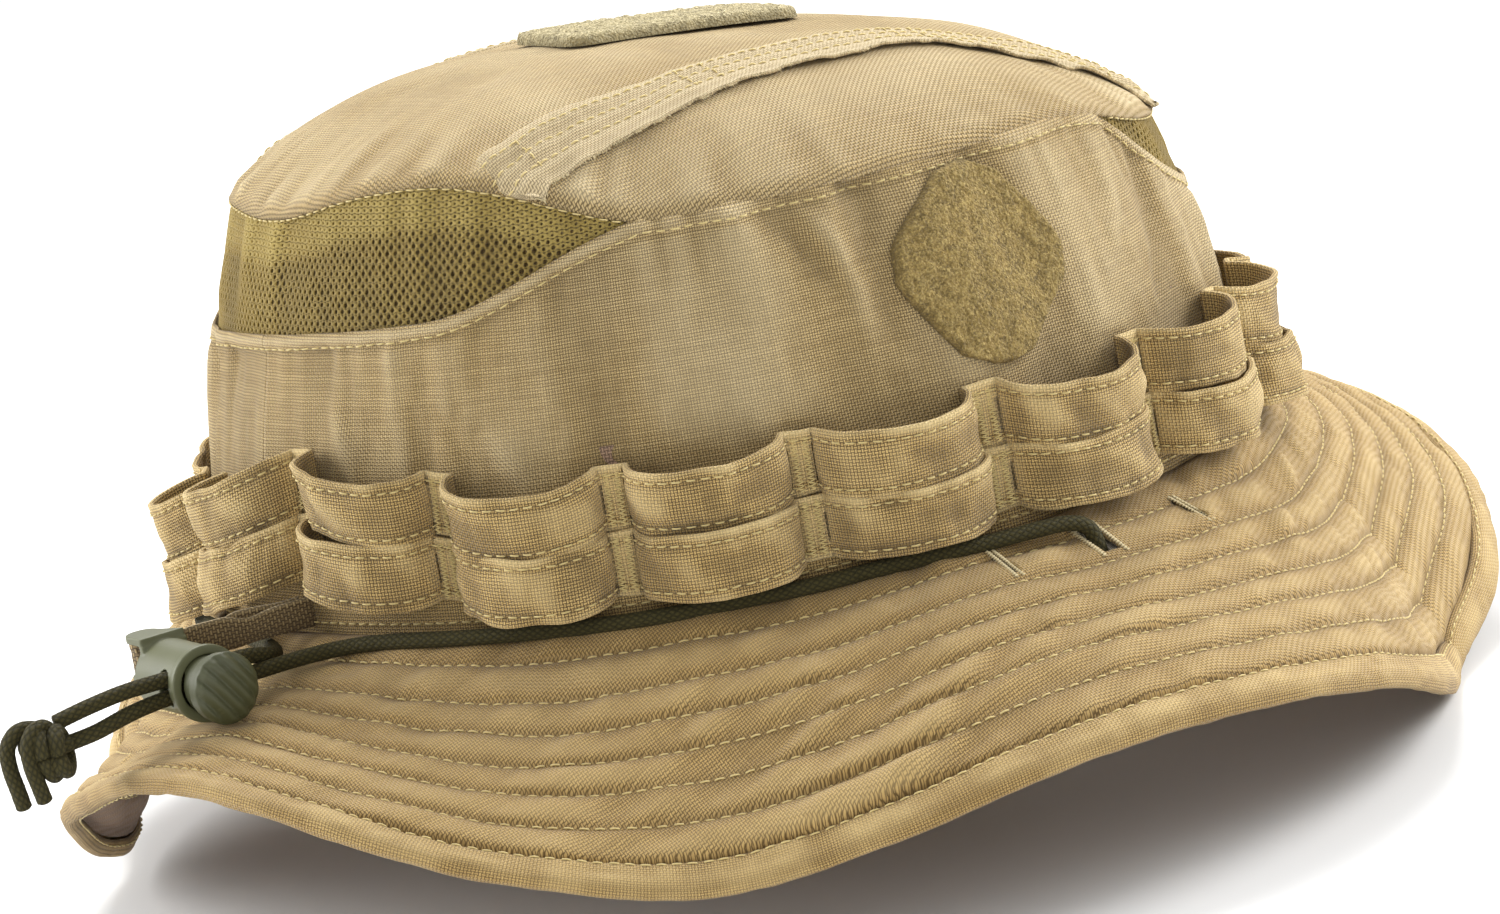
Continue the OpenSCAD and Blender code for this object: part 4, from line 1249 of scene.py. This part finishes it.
STATIONS = 18
STATION = 360 / STATIONS
FLAT_HALF = 1.8
TAPE_LOW = 5.0
TAPE_PITCH = 11.7
TAPE_WIDTH = 11.4
TAPE_OFFSET = 1.25
LOOP_DEPTH = 10
LOOP_ROUNDNESS = 2.15


def tape_rise(t):
    """How much higher the tapes sit than their usual level."""
    return 7 * bump(t, -168, 17) - 2 * bump(t, 150, 18) - 3 * bump(t, -10, 20)


def loop_out(c):
    """How far the loop at angle c stands out."""
    return LOOP_DEPTH * (1 - 0.6 * bump(c, 140, 14) - 0.5 * bump(c, -12, 20))


def tape_frame(row):
    """The tape's middle line and upward direction, and how far through its loop each point is,
    from 0 on the flats to 1 at the loop's middle. row is 0 for the lower tape, 1 for the upper."""
    per = 52
    rng = np.random.default_rng(200 + row)
    angles, depth, sag, lean, through = [], [], [], [], []
    half = STATION / 2 - FLAT_HALF
    on_flat = 2 * FLAT_HALF * np.array([0.06, 0.28, 0.5, 0.72, 0.94])
    for k in range(STATIONS):
        c = turn(k * STATION - 180)
        d = loop_out(c) * rng.uniform(0.86, 1.08) - (0.4 if row else 0)
        droop = rng.uniform(1.6, 3.0) * d / LOOP_DEPTH * (1 if row else 0.75)
        tilt = (rng.uniform(0.4, 3.0) if row else rng.uniform(-2.2, 1.4)) * d / LOOP_DEPTH
        skew = rng.uniform(-0.75, 0.75)
        a = np.linspace(0, np.pi, per, endpoint=False) + np.pi / per / 2
        m = 2 / LOOP_ROUNDNESS
        across = -spow(np.cos(a), m)
        out = np.sin(a) ** m
        angles.append(k * STATION - 180 + half * across + skew * out)
        depth.append(d * out)
        sag.append(-droop * out ** 1.5)
        lean.append(tilt * out + rng.uniform(-1.2, 1.2) * np.sin(2 * a) * out)
        through.append(out)
        angles.append(k * STATION - 180 + half + on_flat)
        for part in (depth, sag, lean, through):
            part.append(0 * on_flat)
    t = np.concatenate(angles)
    depth, sag, lean, through = (np.concatenate(q) for q in (depth, sag, lean, through))
    middle = TAPE_LOW + TAPE_WIDTH / 2 + row * TAPE_PITCH + tape_rise(t) + sag
    p = wall(t, np.maximum(middle, 1), TAPE_OFFSET)
    p = p + outward(t) * depth[:, None]
    rise = unit(np.stack([0 * t, 0 * t, 0 * t + TAPE_WIDTH], -1) + outward(t) * lean[:, None])
    return p, rise, through


TAPE_V = np.linspace(-1, 1, 15)


def tape_profile():
    """The tape's closed section: offsets outward and upward, and a painted shade at each point."""
    v = TAPE_V
    half, thick = TAPE_WIDTH / 2, 0.55
    puff = 0.28 * (1 - (np.abs(v) / 0.72) ** 4).clip(0)
    quilt = thick + puff + 0.2 * ridge(np.abs(v), 0.93, 0.09)
    face = np.stack([quilt, v * half], -1)
    back = np.stack([-thick + 0 * v, v[::-1] * half * 0.985], -1)
    top_edge = np.array([[0.35, half + 0.28], [-0.25, half + 0.25]])
    low_edge = np.array([[-0.25, -half - 0.25], [0.35, -half - 0.28]])
    ring = np.concatenate([face, top_edge, back, low_edge])
    # Painted light and shade: the face paler towards its top and at its rolled edges, darker in the
    # grooves of the stitch rows, and the back darker still.
    shade = np.concatenate([0.5 + 0.07 * v - 0.2 * ridge(np.abs(v), 0.72, 0.1)
                            + 0.14 * ridge(np.abs(v), 0.98, 0.12),
                            [0.6, 0.5], 0.32 + 0 * v, [0.45, 0.55]])
    return ring, shade


def tape_crumple(s, w, row):
    """How far the tape's cloth stands out at s mm along it and w mm above its middle."""
    return 0.75 * noise((s + 0.8 * w) / 6, w / 6, 220 + row) + 0.3 * noise(s / 3, w / 5, 225 + row)


def foliage_tape(row):
    """One of the two tapes that make the loops, with its two rows of stitches."""
    name = "upper" if row else "lower"
    path, rise, through = tape_frame(row)
    ring, shade = tape_profile()
    out, w = ring.T[:, None]
    cols = len(path)
    along = unit(np.roll(path, -1, 0) - np.roll(path, 1, 0))
    side = unit(np.cross(along, rise))
    s = run_along(path)
    waves = 0.28 * noise(s / 6, 0, 210 + row)[:, None] * np.sign(w) * smooth(np.abs(w) / 5)
    crumple = tape_crumple(s[:, None], w, row) + 0.12 * noise(s[:, None] / 1.6, w / 3, 230 + row)
    crumple = crumple * smooth(through / 0.5)[:, None]
    p = (path[:, None] + side[:, None] * (out + crumple)[..., None]
         + rise[:, None] * (w + waves)[..., None])
    grid = np.swapaxes(p, 0, 1)
    rows = len(ring)
    lap = run_along(np.concatenate([ring, ring[:1]])) / 1000
    s_all = run_along(np.concatenate([path, path[:1]])) / 1000
    j, i = np.meshgrid(np.arange(rows), np.arange(cols), indexing="ij")
    j, i = j.ravel(), i.ravel()
    jn, k = (j + 1) % rows, (i + 1) % cols
    faces = np.stack([j * cols + i, j * cols + k, jn * cols + k, jn * cols + i], -1)
    uv = np.stack([np.stack([s_all[i + a], lap[j + b]], -1)
                   for a, b in ((0, 0), (1, 0), (1, 1), (0, 1))], 1)
    # Painted light and shade: paler where the crumpled cloth stands out, and the flats between the
    # loops painted paler, painted light in the gaps the loops shade.
    flats = 1 - smooth(through / 0.45)
    tone = shade[:, None] + 0.3 * crumple.T + 0.22 * flats[None]
    piece = add_mesh("foliage_tape_" + name, grid.reshape(-1, 3), faces, uv.reshape(-1, 2), tone,
                     material=MATERIALS["tape"], slot="tape_cloth")
    sectors = ("front", "front_left", "rear_left", "rear", "rear_right", "front_right")
    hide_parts(*("foliage_" + name + "_" + sector for sector in sectors))
    thread = Thread()
    for k, v in enumerate((-0.74, 0.74)):
        over = np.interp(v, TAPE_V, ring[:len(TAPE_V), 0]) + 0.02
        up = v * TAPE_WIDTH / 2
        over = over + tape_crumple(s, up, row) * smooth(through / 0.5)
        line = path + side * over[:, None] + rise * up
        thread.row(np.concatenate([line, line[:1]]), np.concatenate([side, side[:1]]), 2.5,
                   seed=240 + k + 2 * row)
    thread.build("foliage_thread_" + name, material=MATERIALS["thread"], slot="thread")


def bartacks():
    """Two zigzag bars over each tape on every flat."""
    thread = Thread()
    out = TAPE_OFFSET + 1.05
    for row in (0, 1):
        for k in range(STATIONS):
            c = turn(k * STATION + STATION / 2)
            z = TAPE_LOW + row * TAPE_PITCH + tape_rise(c)
            low, high = z + 0.7, z + TAPE_WIDTH - 0.7
            for off in (-0.62, 0.62):
                quad = [wall(c + off - 0.42, low, out), wall(c + off + 0.42, low, out),
                        wall(c + off + 0.42, high, out), wall(c + off - 0.42, high, out)]
                thread.zigzag(quad, outward(c), 13, 0.15)
    piece = thread.build("foliage_bartacks", material=MATERIALS["thread"], slot="thread")
    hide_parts("loop_bartacks")


# ---- Brim ----

CREASE = -39
BRIM_STRETCH = 1.3
SLOTS = [side * at for at in SLOT_ANGLES for side in (-1, 1)]


def brim_folds(t, u):
    """Puffed channels between the stitch rows, creases at the front corner, and soft wrinkles.

    It gives how far the cloth stands off the stiffening, how far the whole brim bends there, and
    the share of the way from a stitch row to the channel's crown.
    """
    rows = np.array((0.0,) + STITCH_ROWS + (HEM_AT,))
    k = np.clip(np.searchsorted(rows, u, side="right") - 1, 0, len(rows) - 2)
    inside = np.clip((u - rows[k]) / (rows[k + 1] - rows[k]), 0, 1)
    channel = 1 - np.abs(2 * inside - 1) ** 2.8
    pinch = 0.75 + 0.25 * np.sin(t * DEGREE * 1.35 * 2 * np.pi / (2 * STITCH))
    puff = 0.95 * channel - 0.15 * (1 - channel) ** 3 * pinch
    drag = noise((t * DEGREE * BRIM_STRETCH + inside * 7) / 5.5, k * 3.7 + 0 * u, 307)
    swell = (0.3 * noise(t / 3.2, k * 3.7 + 0 * u, 301, 112) + 0.32 * drag) * channel
    slant = t * DEGREE * BRIM_STRETCH + u * BRIM_WIDTH * 1.1
    where = bump(t, -112, 20) * smooth((u - 0.3) / 0.3) + 0.6 * bump(t, -60, 16)
    crease = 1.7 * noise(slant / 6.5, u * 5, 302) * where * channel
    fine = (0.14 * noise(t / 1.3, u * 22, 303, 276) + 0.32 * noise(t / 4, u * 9, 304, 90)
            + 0.25 * noise(slant / 9, u * 14, 306) * channel)
    mitre = (-2.4 * np.exp(-np.abs(turn(t - CREASE)) / 3.2) * smooth((u - 0.25) / 0.35)
             * smooth((1.02 - u) / 0.12))
    ripple = 1.5 * noise(t / 14, u * 1.4, 305, 26) * smooth(u / 0.3) * smooth((1.05 - u) / 0.3)
    stand = np.maximum(puff + swell + crease + fine * smooth(u / 0.05), -0.35)
    return stand, mitre + ripple, channel


def in_slot(t, u):
    """Where the brim is cut through: open slots for the cord, and slits elsewhere."""
    hole = np.zeros(np.broadcast(t, u).shape, bool)
    for at in SLOTS:
        half = 0.95 if abs(at) == abs(CORD_SLOT) else 0.3
        hole |= (np.abs(turn(t - at)) < half) & (u > SLOT_FROM) & (u < SLOT_TO)
    return hole


def brim_layer(name, lift, thick, step, rows, material, slot, node):
    """One of the brim's layers: the top cloth, which dips under the hem, the core or the under
    cloth."""
    t = np.arange(-180, 180, step)
    u = np.concatenate([np.linspace(0.004, 0.12, 6), np.linspace(0.12, 0.93, rows)[1:]])[::-1]
    tt, uu = np.broadcast_arrays(t[None], u[:, None])
    folds, shape, channel = brim_folds(tt, uu)
    dip = 0.5 * smooth((uu - HEM_AT + 0.02) / 0.02)
    amount = {"top": folds - dip, "core": 0 * uu, "under": -0.6 * folds}[name]
    p = brim(tt, uu, shape)
    p = p + grid_normals(p, True) * (lift + amount)[..., None]
    middle = (uu[:-1] + uu[1:]) / 2
    keep = ~in_slot(tt[:-1] + step / 2, middle)
    xy = p[..., :2] / 1000
    uv = np.concatenate([xy, xy[:, :1]], 1)
    # Painted light and shade: paler on the channels' crowns and raised folds, darker at the stitch
    # rows, and darker near the crown's foot.
    tone = 0.47 + 0.22 * (channel - 0.6) + 0.09 * np.clip(folds - 0.7, -1, 1)
    tone -= 0.18 * smooth((0.2 - uu) / 0.2)
    piece = shell("brim_cloth_" + name, p, thick, uv, tone, wrap=True, keep=keep,
                  material=material, slot=slot)
    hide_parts(node)


def brim_point(t, u, above):
    """A point of the brim's stitched upper or lower face, and its normal."""
    def skin(tt, uu):
        folds, shape, _ = brim_folds(tt, uu)
        return brim(tt, uu, shape), folds
    p, folds = skin(t, u)
    a, _ = skin(t + 0.2, u)
    b, _ = skin(t, u + 0.004)
    n = unit(np.cross(a - p, b - p))
    n = n * np.sign(n[..., 2:3])
    if above:
        return p + n * (1.15 + folds)[..., None], n
    return p - n * (1.15 + 0.6 * folds)[..., None], -n


def brim_thread():
    """Rows of stitches on both faces, which stop at the slots."""
    thread = Thread()
    t = np.linspace(-180, 180, 2600)
    for k, u in enumerate(STITCH_ROWS):
        free = np.ones(len(t), bool)
        if u < SLOT_TO:
            for at in SLOTS:
                free &= np.abs(turn(t - at)) > 1.6
        wander = u + 0.004 * noise(t / 8, k * 5.0, 320, 45)
        for above in (True, False):
            p, n = brim_point(t, wander, above)
            cuts = np.flatnonzero(np.diff(free.astype(int))) + 1
            for part in np.split(np.arange(len(t)), cuts):
                if free[part[0]] and len(part) > 20:
                    thread.row(p[part], n[part], STITCH, seed=330 + k)
    thread.build("brim_thread", material=MATERIALS["thread"], slot="thread")


def brim_hem():
    """The bound edge: a puffed strip that rolls over the edge and under it."""
    t = np.arange(-180, 180, 0.33)
    a = np.linspace(1, 0, 25)[:, None]
    top_u = np.interp(a, [0, 0.12, 0.5, 0.72], [HEM_AT - 0.004, HEM_AT + 0.008, 0.975, 0.999])
    under_u = np.interp(a, [0.72, 0.86, 1.0], [0.999, 0.985, HEM_AT + 0.03])
    u = np.where(a < 0.72, top_u, under_u)
    lift = np.interp(a, [0, 0.06, 0.2, 0.42, 0.6, 0.72, 0.84, 0.95, 1.0],
                     [0.7, 1.35, 2.1, 2.15, 1.5, 0.0, -1.5, -2.0, -1.3])
    tt, uu = np.broadcast_arrays(t[None], u)
    soft = 0.35 * noise(tt / 3, a * 3, 340, 120) + 0.18 * noise(tt / 1.2, a * 7, 341, 300)
    _, shape, _ = brim_folds(tt, uu)
    reach = 1 + 0.010 * noise(tt / 9, 0, 342, 40)
    p = brim(tt, uu * reach, shape)
    centre = brim(tt, np.full_like(uu, 0.96) * reach, shape)
    n = unit(np.cross(np.roll(centre, -1, 1) - np.roll(centre, 1, 1),
                      brim(tt, 0.99 + 0 * uu, shape) - brim(tt, 0.93 + 0 * uu, shape)))
    n = n * np.sign(n[..., 2:3])
    p = p + n * (lift + soft * smooth(a / 0.1) * smooth((1 - a) / 0.1))[..., None]
    around = np.append(t, 180)[None] * DEGREE * 1.45 / 1000
    uv = np.stack(np.broadcast_arrays(around, a * 0.014), -1)
    # Painted light and shade: darker in the groove where the hem starts, a painted highlight along
    # its rounded top and on its puffs, and darker under the edge.
    tone = 0.5 - 0.2 * ridge(a, 0.0, 0.06) + 0.14 * ridge(a, 0.35, 0.2)
    tone = tone + 0.3 * soft - 0.1 * smooth((a - 0.8) / 0.1)
    piece = shell("brim_hem", p, 0.5, uv, tone, wrap=True,
                  material=MATERIALS["brim"], slot="binding_cloth")
    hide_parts("brim_edge_binding")
    thread = Thread()
    for at, seed in ((21, 350), (1, 351)):
        line = np.concatenate([p[at], p[at, :1]])
        normal = np.concatenate([n[at], n[at, :1]]) * (1 if at > 12 else -1)
        thread.row(line, normal, STITCH, seed=seed)
    thread.build("brim_hem_thread", material=MATERIALS["thread"], slot="thread")


def buttonholes():
    """Three radial slots on each side, each with a bar of dense stitches along both its edges."""
    thread = Thread()
    for at in SLOTS:
        inner, outer = (1.0, 1.5) if abs(at) == abs(CORD_SLOT) else (0.1, 0.5)
        for hand in (-1, 1):
            ends = []
            for t_off, u in ((inner, SLOT_FROM - 0.01), (outer, SLOT_FROM - 0.01),
                             (outer, SLOT_TO + 0.02), (inner, SLOT_TO + 0.02)):
                p, n = brim_point(np.array([at + hand * t_off]), np.array([u]), True)
                ends.append(p[0] + n[0] * 0.12)
            thread.zigzag(ends, n[0], 15, 0.17)
    piece = thread.build("brim_buttonholes", material=MATERIALS["cream"], slot="thread")
    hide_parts("buttonhole_stitching")


def add_brim():
    brim_layer("top", 1.15, 0.6, 0.33, 110, MATERIALS["brim"], "brim_cloth", "brim_top_fabric")
    brim_layer("core", -0.05, 0.3, 0.6, 70, MATERIALS["core"], "interlining", "brim_interlining")
    brim_layer("under", -0.6, 0.55, 0.5, 80, MATERIALS["under"], "under_cloth",
               "brim_under_fabric")
    brim_thread()
    brim_hem()
    buttonholes()


# ---- Cord lock and tab ----

VOXEL = 0.22


def rounded_copy(name, node, passes, material, body, shape=None):
    """A finely meshed copy of a CAD part with softened edges, like a moulding."""
    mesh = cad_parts[node].data.copy()
    piece = bpy.data.objects.new(name, mesh)
    bpy.context.scene.collection.objects.link(piece)
    mesh.materials.clear()
    remesh = piece.modifiers.new("remesh", "REMESH")
    remesh.mode = "VOXEL"
    remesh.voxel_size = VOXEL / 1000
    soften = piece.modifiers.new("soften", "SMOOTH")
    soften.factor = 0.5
    soften.iterations = passes
    depsgraph = bpy.context.evaluated_depsgraph_get()
    done = bpy.data.meshes.new_from_object(piece.evaluated_get(depsgraph))
    piece.modifiers.clear()
    piece.data = done
    if shape:
        points = np.empty(len(done.vertices) * 3)
        done.vertices.foreach_get("co", points)
        points = points.reshape(-1, 3) * 1000 - ORIGIN
        done.vertices.foreach_set("co", place(shape(points)).ravel())
    done.materials.append(material)
    done.polygons.foreach_set("use_smooth", [True] * len(done.polygons))
    done.update()
    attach(piece, body)
    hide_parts(node)
    return piece


def add_lock():
    """The lock's housing, and its plunger with a ribbed knob."""
    low, high = hat_box("lock_plunger")
    axis_x, axis_z = (low[0] + high[0]) / 2, (low[2] + high[2]) / 2

    def knob_ribs(p):
        """Slanting ribs on the knob's face, cut as grooves between them."""
        q = p.copy()
        face = smooth((low[1] + 4.2 - p[:, 1]) / 2.0)
        slant = (p[:, 0] - axis_x) * 0.80 + (p[:, 2] - axis_z) * 0.60
        groove = 0.5 - 0.5 * np.cos(2 * np.pi * slant / 2.3)
        radial = np.hypot(p[:, 0] - axis_x, p[:, 2] - axis_z)
        q[:, 1] += face * 0.75 * (1 - groove ** 0.7) * smooth((6.6 - radial) / 1.2)
        q[:, 2] = axis_z + (q[:, 2] - axis_z) * (1 + 0.05 * face)
        return q

    rounded_copy("lock_body", "lock_housing", 7, MATERIALS["housing"], "hat")
    rounded_copy("lock_knob", "lock_plunger", 6, MATERIALS["plunger"], "plunger",
                 knob_ribs)


def add_tab():
    """Webbing that stands on edge, from the crown's foot round the lock's post and back."""
    low, high = hat_box("webbing_tab")
    post = np.array([low[0] + 2.6, -10.8])
    root = np.array([-99.9, -12.8])
    along = unit(post - root)
    side = np.array([-along[1], along[0]])
    gap = 0.55
    straight = np.linspace(0, 1, 40)[:, None]
    bend = 2.05
    near_post = smooth(straight * 3 - 2)
    out = root + (post - root - along * 1.2) * straight + side * (gap + 1.4 * near_post)
    a = np.linspace(0.25, 2 * np.pi - 1.25, 30)[1:-1]
    facing = math.atan2(side[1], side[0])
    round_post = post + bend * np.stack([np.cos(facing - a), np.sin(facing - a)], -1)
    back = out[::-1] - side * (2 * gap + 1.6 * near_post[::-1])
    xy = np.concatenate([out, round_post, back])
    fine = curve_points(np.column_stack([xy, np.zeros(len(xy))])[::3], 0.5)
    s = run_along(fine)
    middle_z = (low[2] + high[2]) / 2
    half = (high[2] - low[2]) / 2
    v = np.linspace(-1, 1, 13)[:, None]
    wave = 0.9 * noise(s / 6, 0, 401)[None]
    from_root = smooth((np.hypot(fine[:, 0] - root[0], fine[:, 1] - root[1]) - 4) / 10)[None]
    z = middle_z + v * half + wave * from_root * (0.5 + 0.5 * v)
    along_path = unit(np.gradient(fine[:, :2], axis=0))
    across = np.stack([along_path[:, 1], -along_path[:, 0]], -1)
    puff = 0.12 * noise(s[None] / 4, v * 3, 402)
    p = np.concatenate([fine[None, :, :2] + across[None] * puff[..., None], z[..., None]], -1)
    uv = np.stack(np.broadcast_arrays(s[None] / 1000, v * half / 1000), -1)
    # Painted light and shade: a painted highlight along the top edge and painted shade over the
    # lower part.
    tone = np.broadcast_to(0.40 + 0.22 * ridge(v, 1, 0.25) - 0.12 * smooth((0.2 - v) / 1), z.shape)
    tab = shell("tab_webbing", p, 0.7, uv, tone, material=MATERIALS["webbing"], slot="webbing")
    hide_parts("webbing_tab")


def spring_finish():
    """The spring keeps its CAD shape and gets a drawn steel."""
    n = Nodes("drawn_steel")
    scratch = n.noise(n.place(), 1800.0, 2.0)
    colour = n.tint(scratch, rgb(0.42, 0.43, 0.44), rgb(0.62, 0.63, 0.65))
    n.shader.inputs["Metallic"].default_value = 1.0
    steel = n.finish(colour, n.blend(scratch, 0.25, 0.4), scratch, 0.00002)
    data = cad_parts["lock_spring"].data
    data.materials.clear()
    data.materials.append(steel)


# ---- Studio ----

FLOOR_HALF = 4
WORLD_LIGHT = 0.62

# Each soft lamp's place and width in metres, and its power in watts
LAMPS = (("right", (1.21, -0.30, 0.75), 0.8, 23), ("left", (-0.94, 0.77, 0.6), 0.8, 17),
         ("top", (0.45, 0.78, 1.35), 0.9, 24), ("front", (-0.7, -1.2, 0.5), 1.0, 4))
LAMPS_AIM = np.array([0, 0, 0.07])


def add_studio():
    """A pale floor, four soft lamps and a white surround."""
    size = FLOOR_HALF
    floor_mesh = bpy.data.meshes.new("floor")
    floor_mesh.from_pydata([(-size, -size, 0), (size, -size, 0), (size, size, 0), (-size, size, 0)],
                           [], [(0, 1, 2, 3)])
    floor = bpy.data.objects.new("floor", floor_mesh)
    pale = Nodes("floor_paper")
    pale.shader.inputs["Base Color"].default_value = rgb(0.82, 0.82, 0.815)
    pale.shader.inputs["Roughness"].default_value = 0.9
    floor_mesh.materials.append(pale.material)
    bpy.context.scene.collection.objects.link(floor)
    for name, where, width, power in LAMPS:
        data = bpy.data.lights.new(name, "AREA")
        data.size = width
        data.energy = power
        lamp = bpy.data.objects.new(name, data)
        lamp.location = where
        lamp.rotation_euler = Vector(LAMPS_AIM - where).to_track_quat("-Z", "Y").to_euler()
        bpy.context.scene.collection.objects.link(lamp)
    bpy.context.scene.view_settings.view_transform = "Standard"
    world = bpy.data.worlds.new("studio")
    world.use_nodes = True
    background = world.node_tree.nodes["Background"]
    background.inputs["Color"].default_value = rgb(1, 1, 1)
    background.inputs["Strength"].default_value = WORLD_LIGHT
    bpy.context.scene.world = world


# ---- The hat ----

add_camera()
add_cords()
side_panel(-1)
side_panel(1)
top_panel("crown_top_middle", -STRAP_ANGLE, STRAP_ANGLE, 110, "crown_top_centre")
top_panel("crown_top_side_right", -89.6, -STRAP_ANGLE, 60, "crown_top_right")
top_panel("crown_top_side_left", STRAP_ANGLE, 89.6, 60, "crown_top_left")
top_strap(-1)
top_strap(1)
mesh_vent("rear", 180)
mesh_vent("front", 0)
add_patches()
# The foot band's tone rises from 0.3 at its foot: painted shade low down, where it meets the brim
# under the loops.
ring_band("crown_foot_band", 0.2, BAND_TOP, 0.75, 0.5, 14, MATERIALS["tape"], "tape_cloth",
          "base_band", 0.3, 0.02, 0.2)
ring_band("crown_sweatband", -1, 31, -CLOTH - 0.8, 1.0, 24, MATERIALS["under"],
          "sweatband_cloth", "sweatband", 0.5, 0, 0.25)
crown_thread()
foliage_tape(0)
foliage_tape(1)
bartacks()
add_brim()
add_lock()
add_tab()
spring_finish()
add_studio()
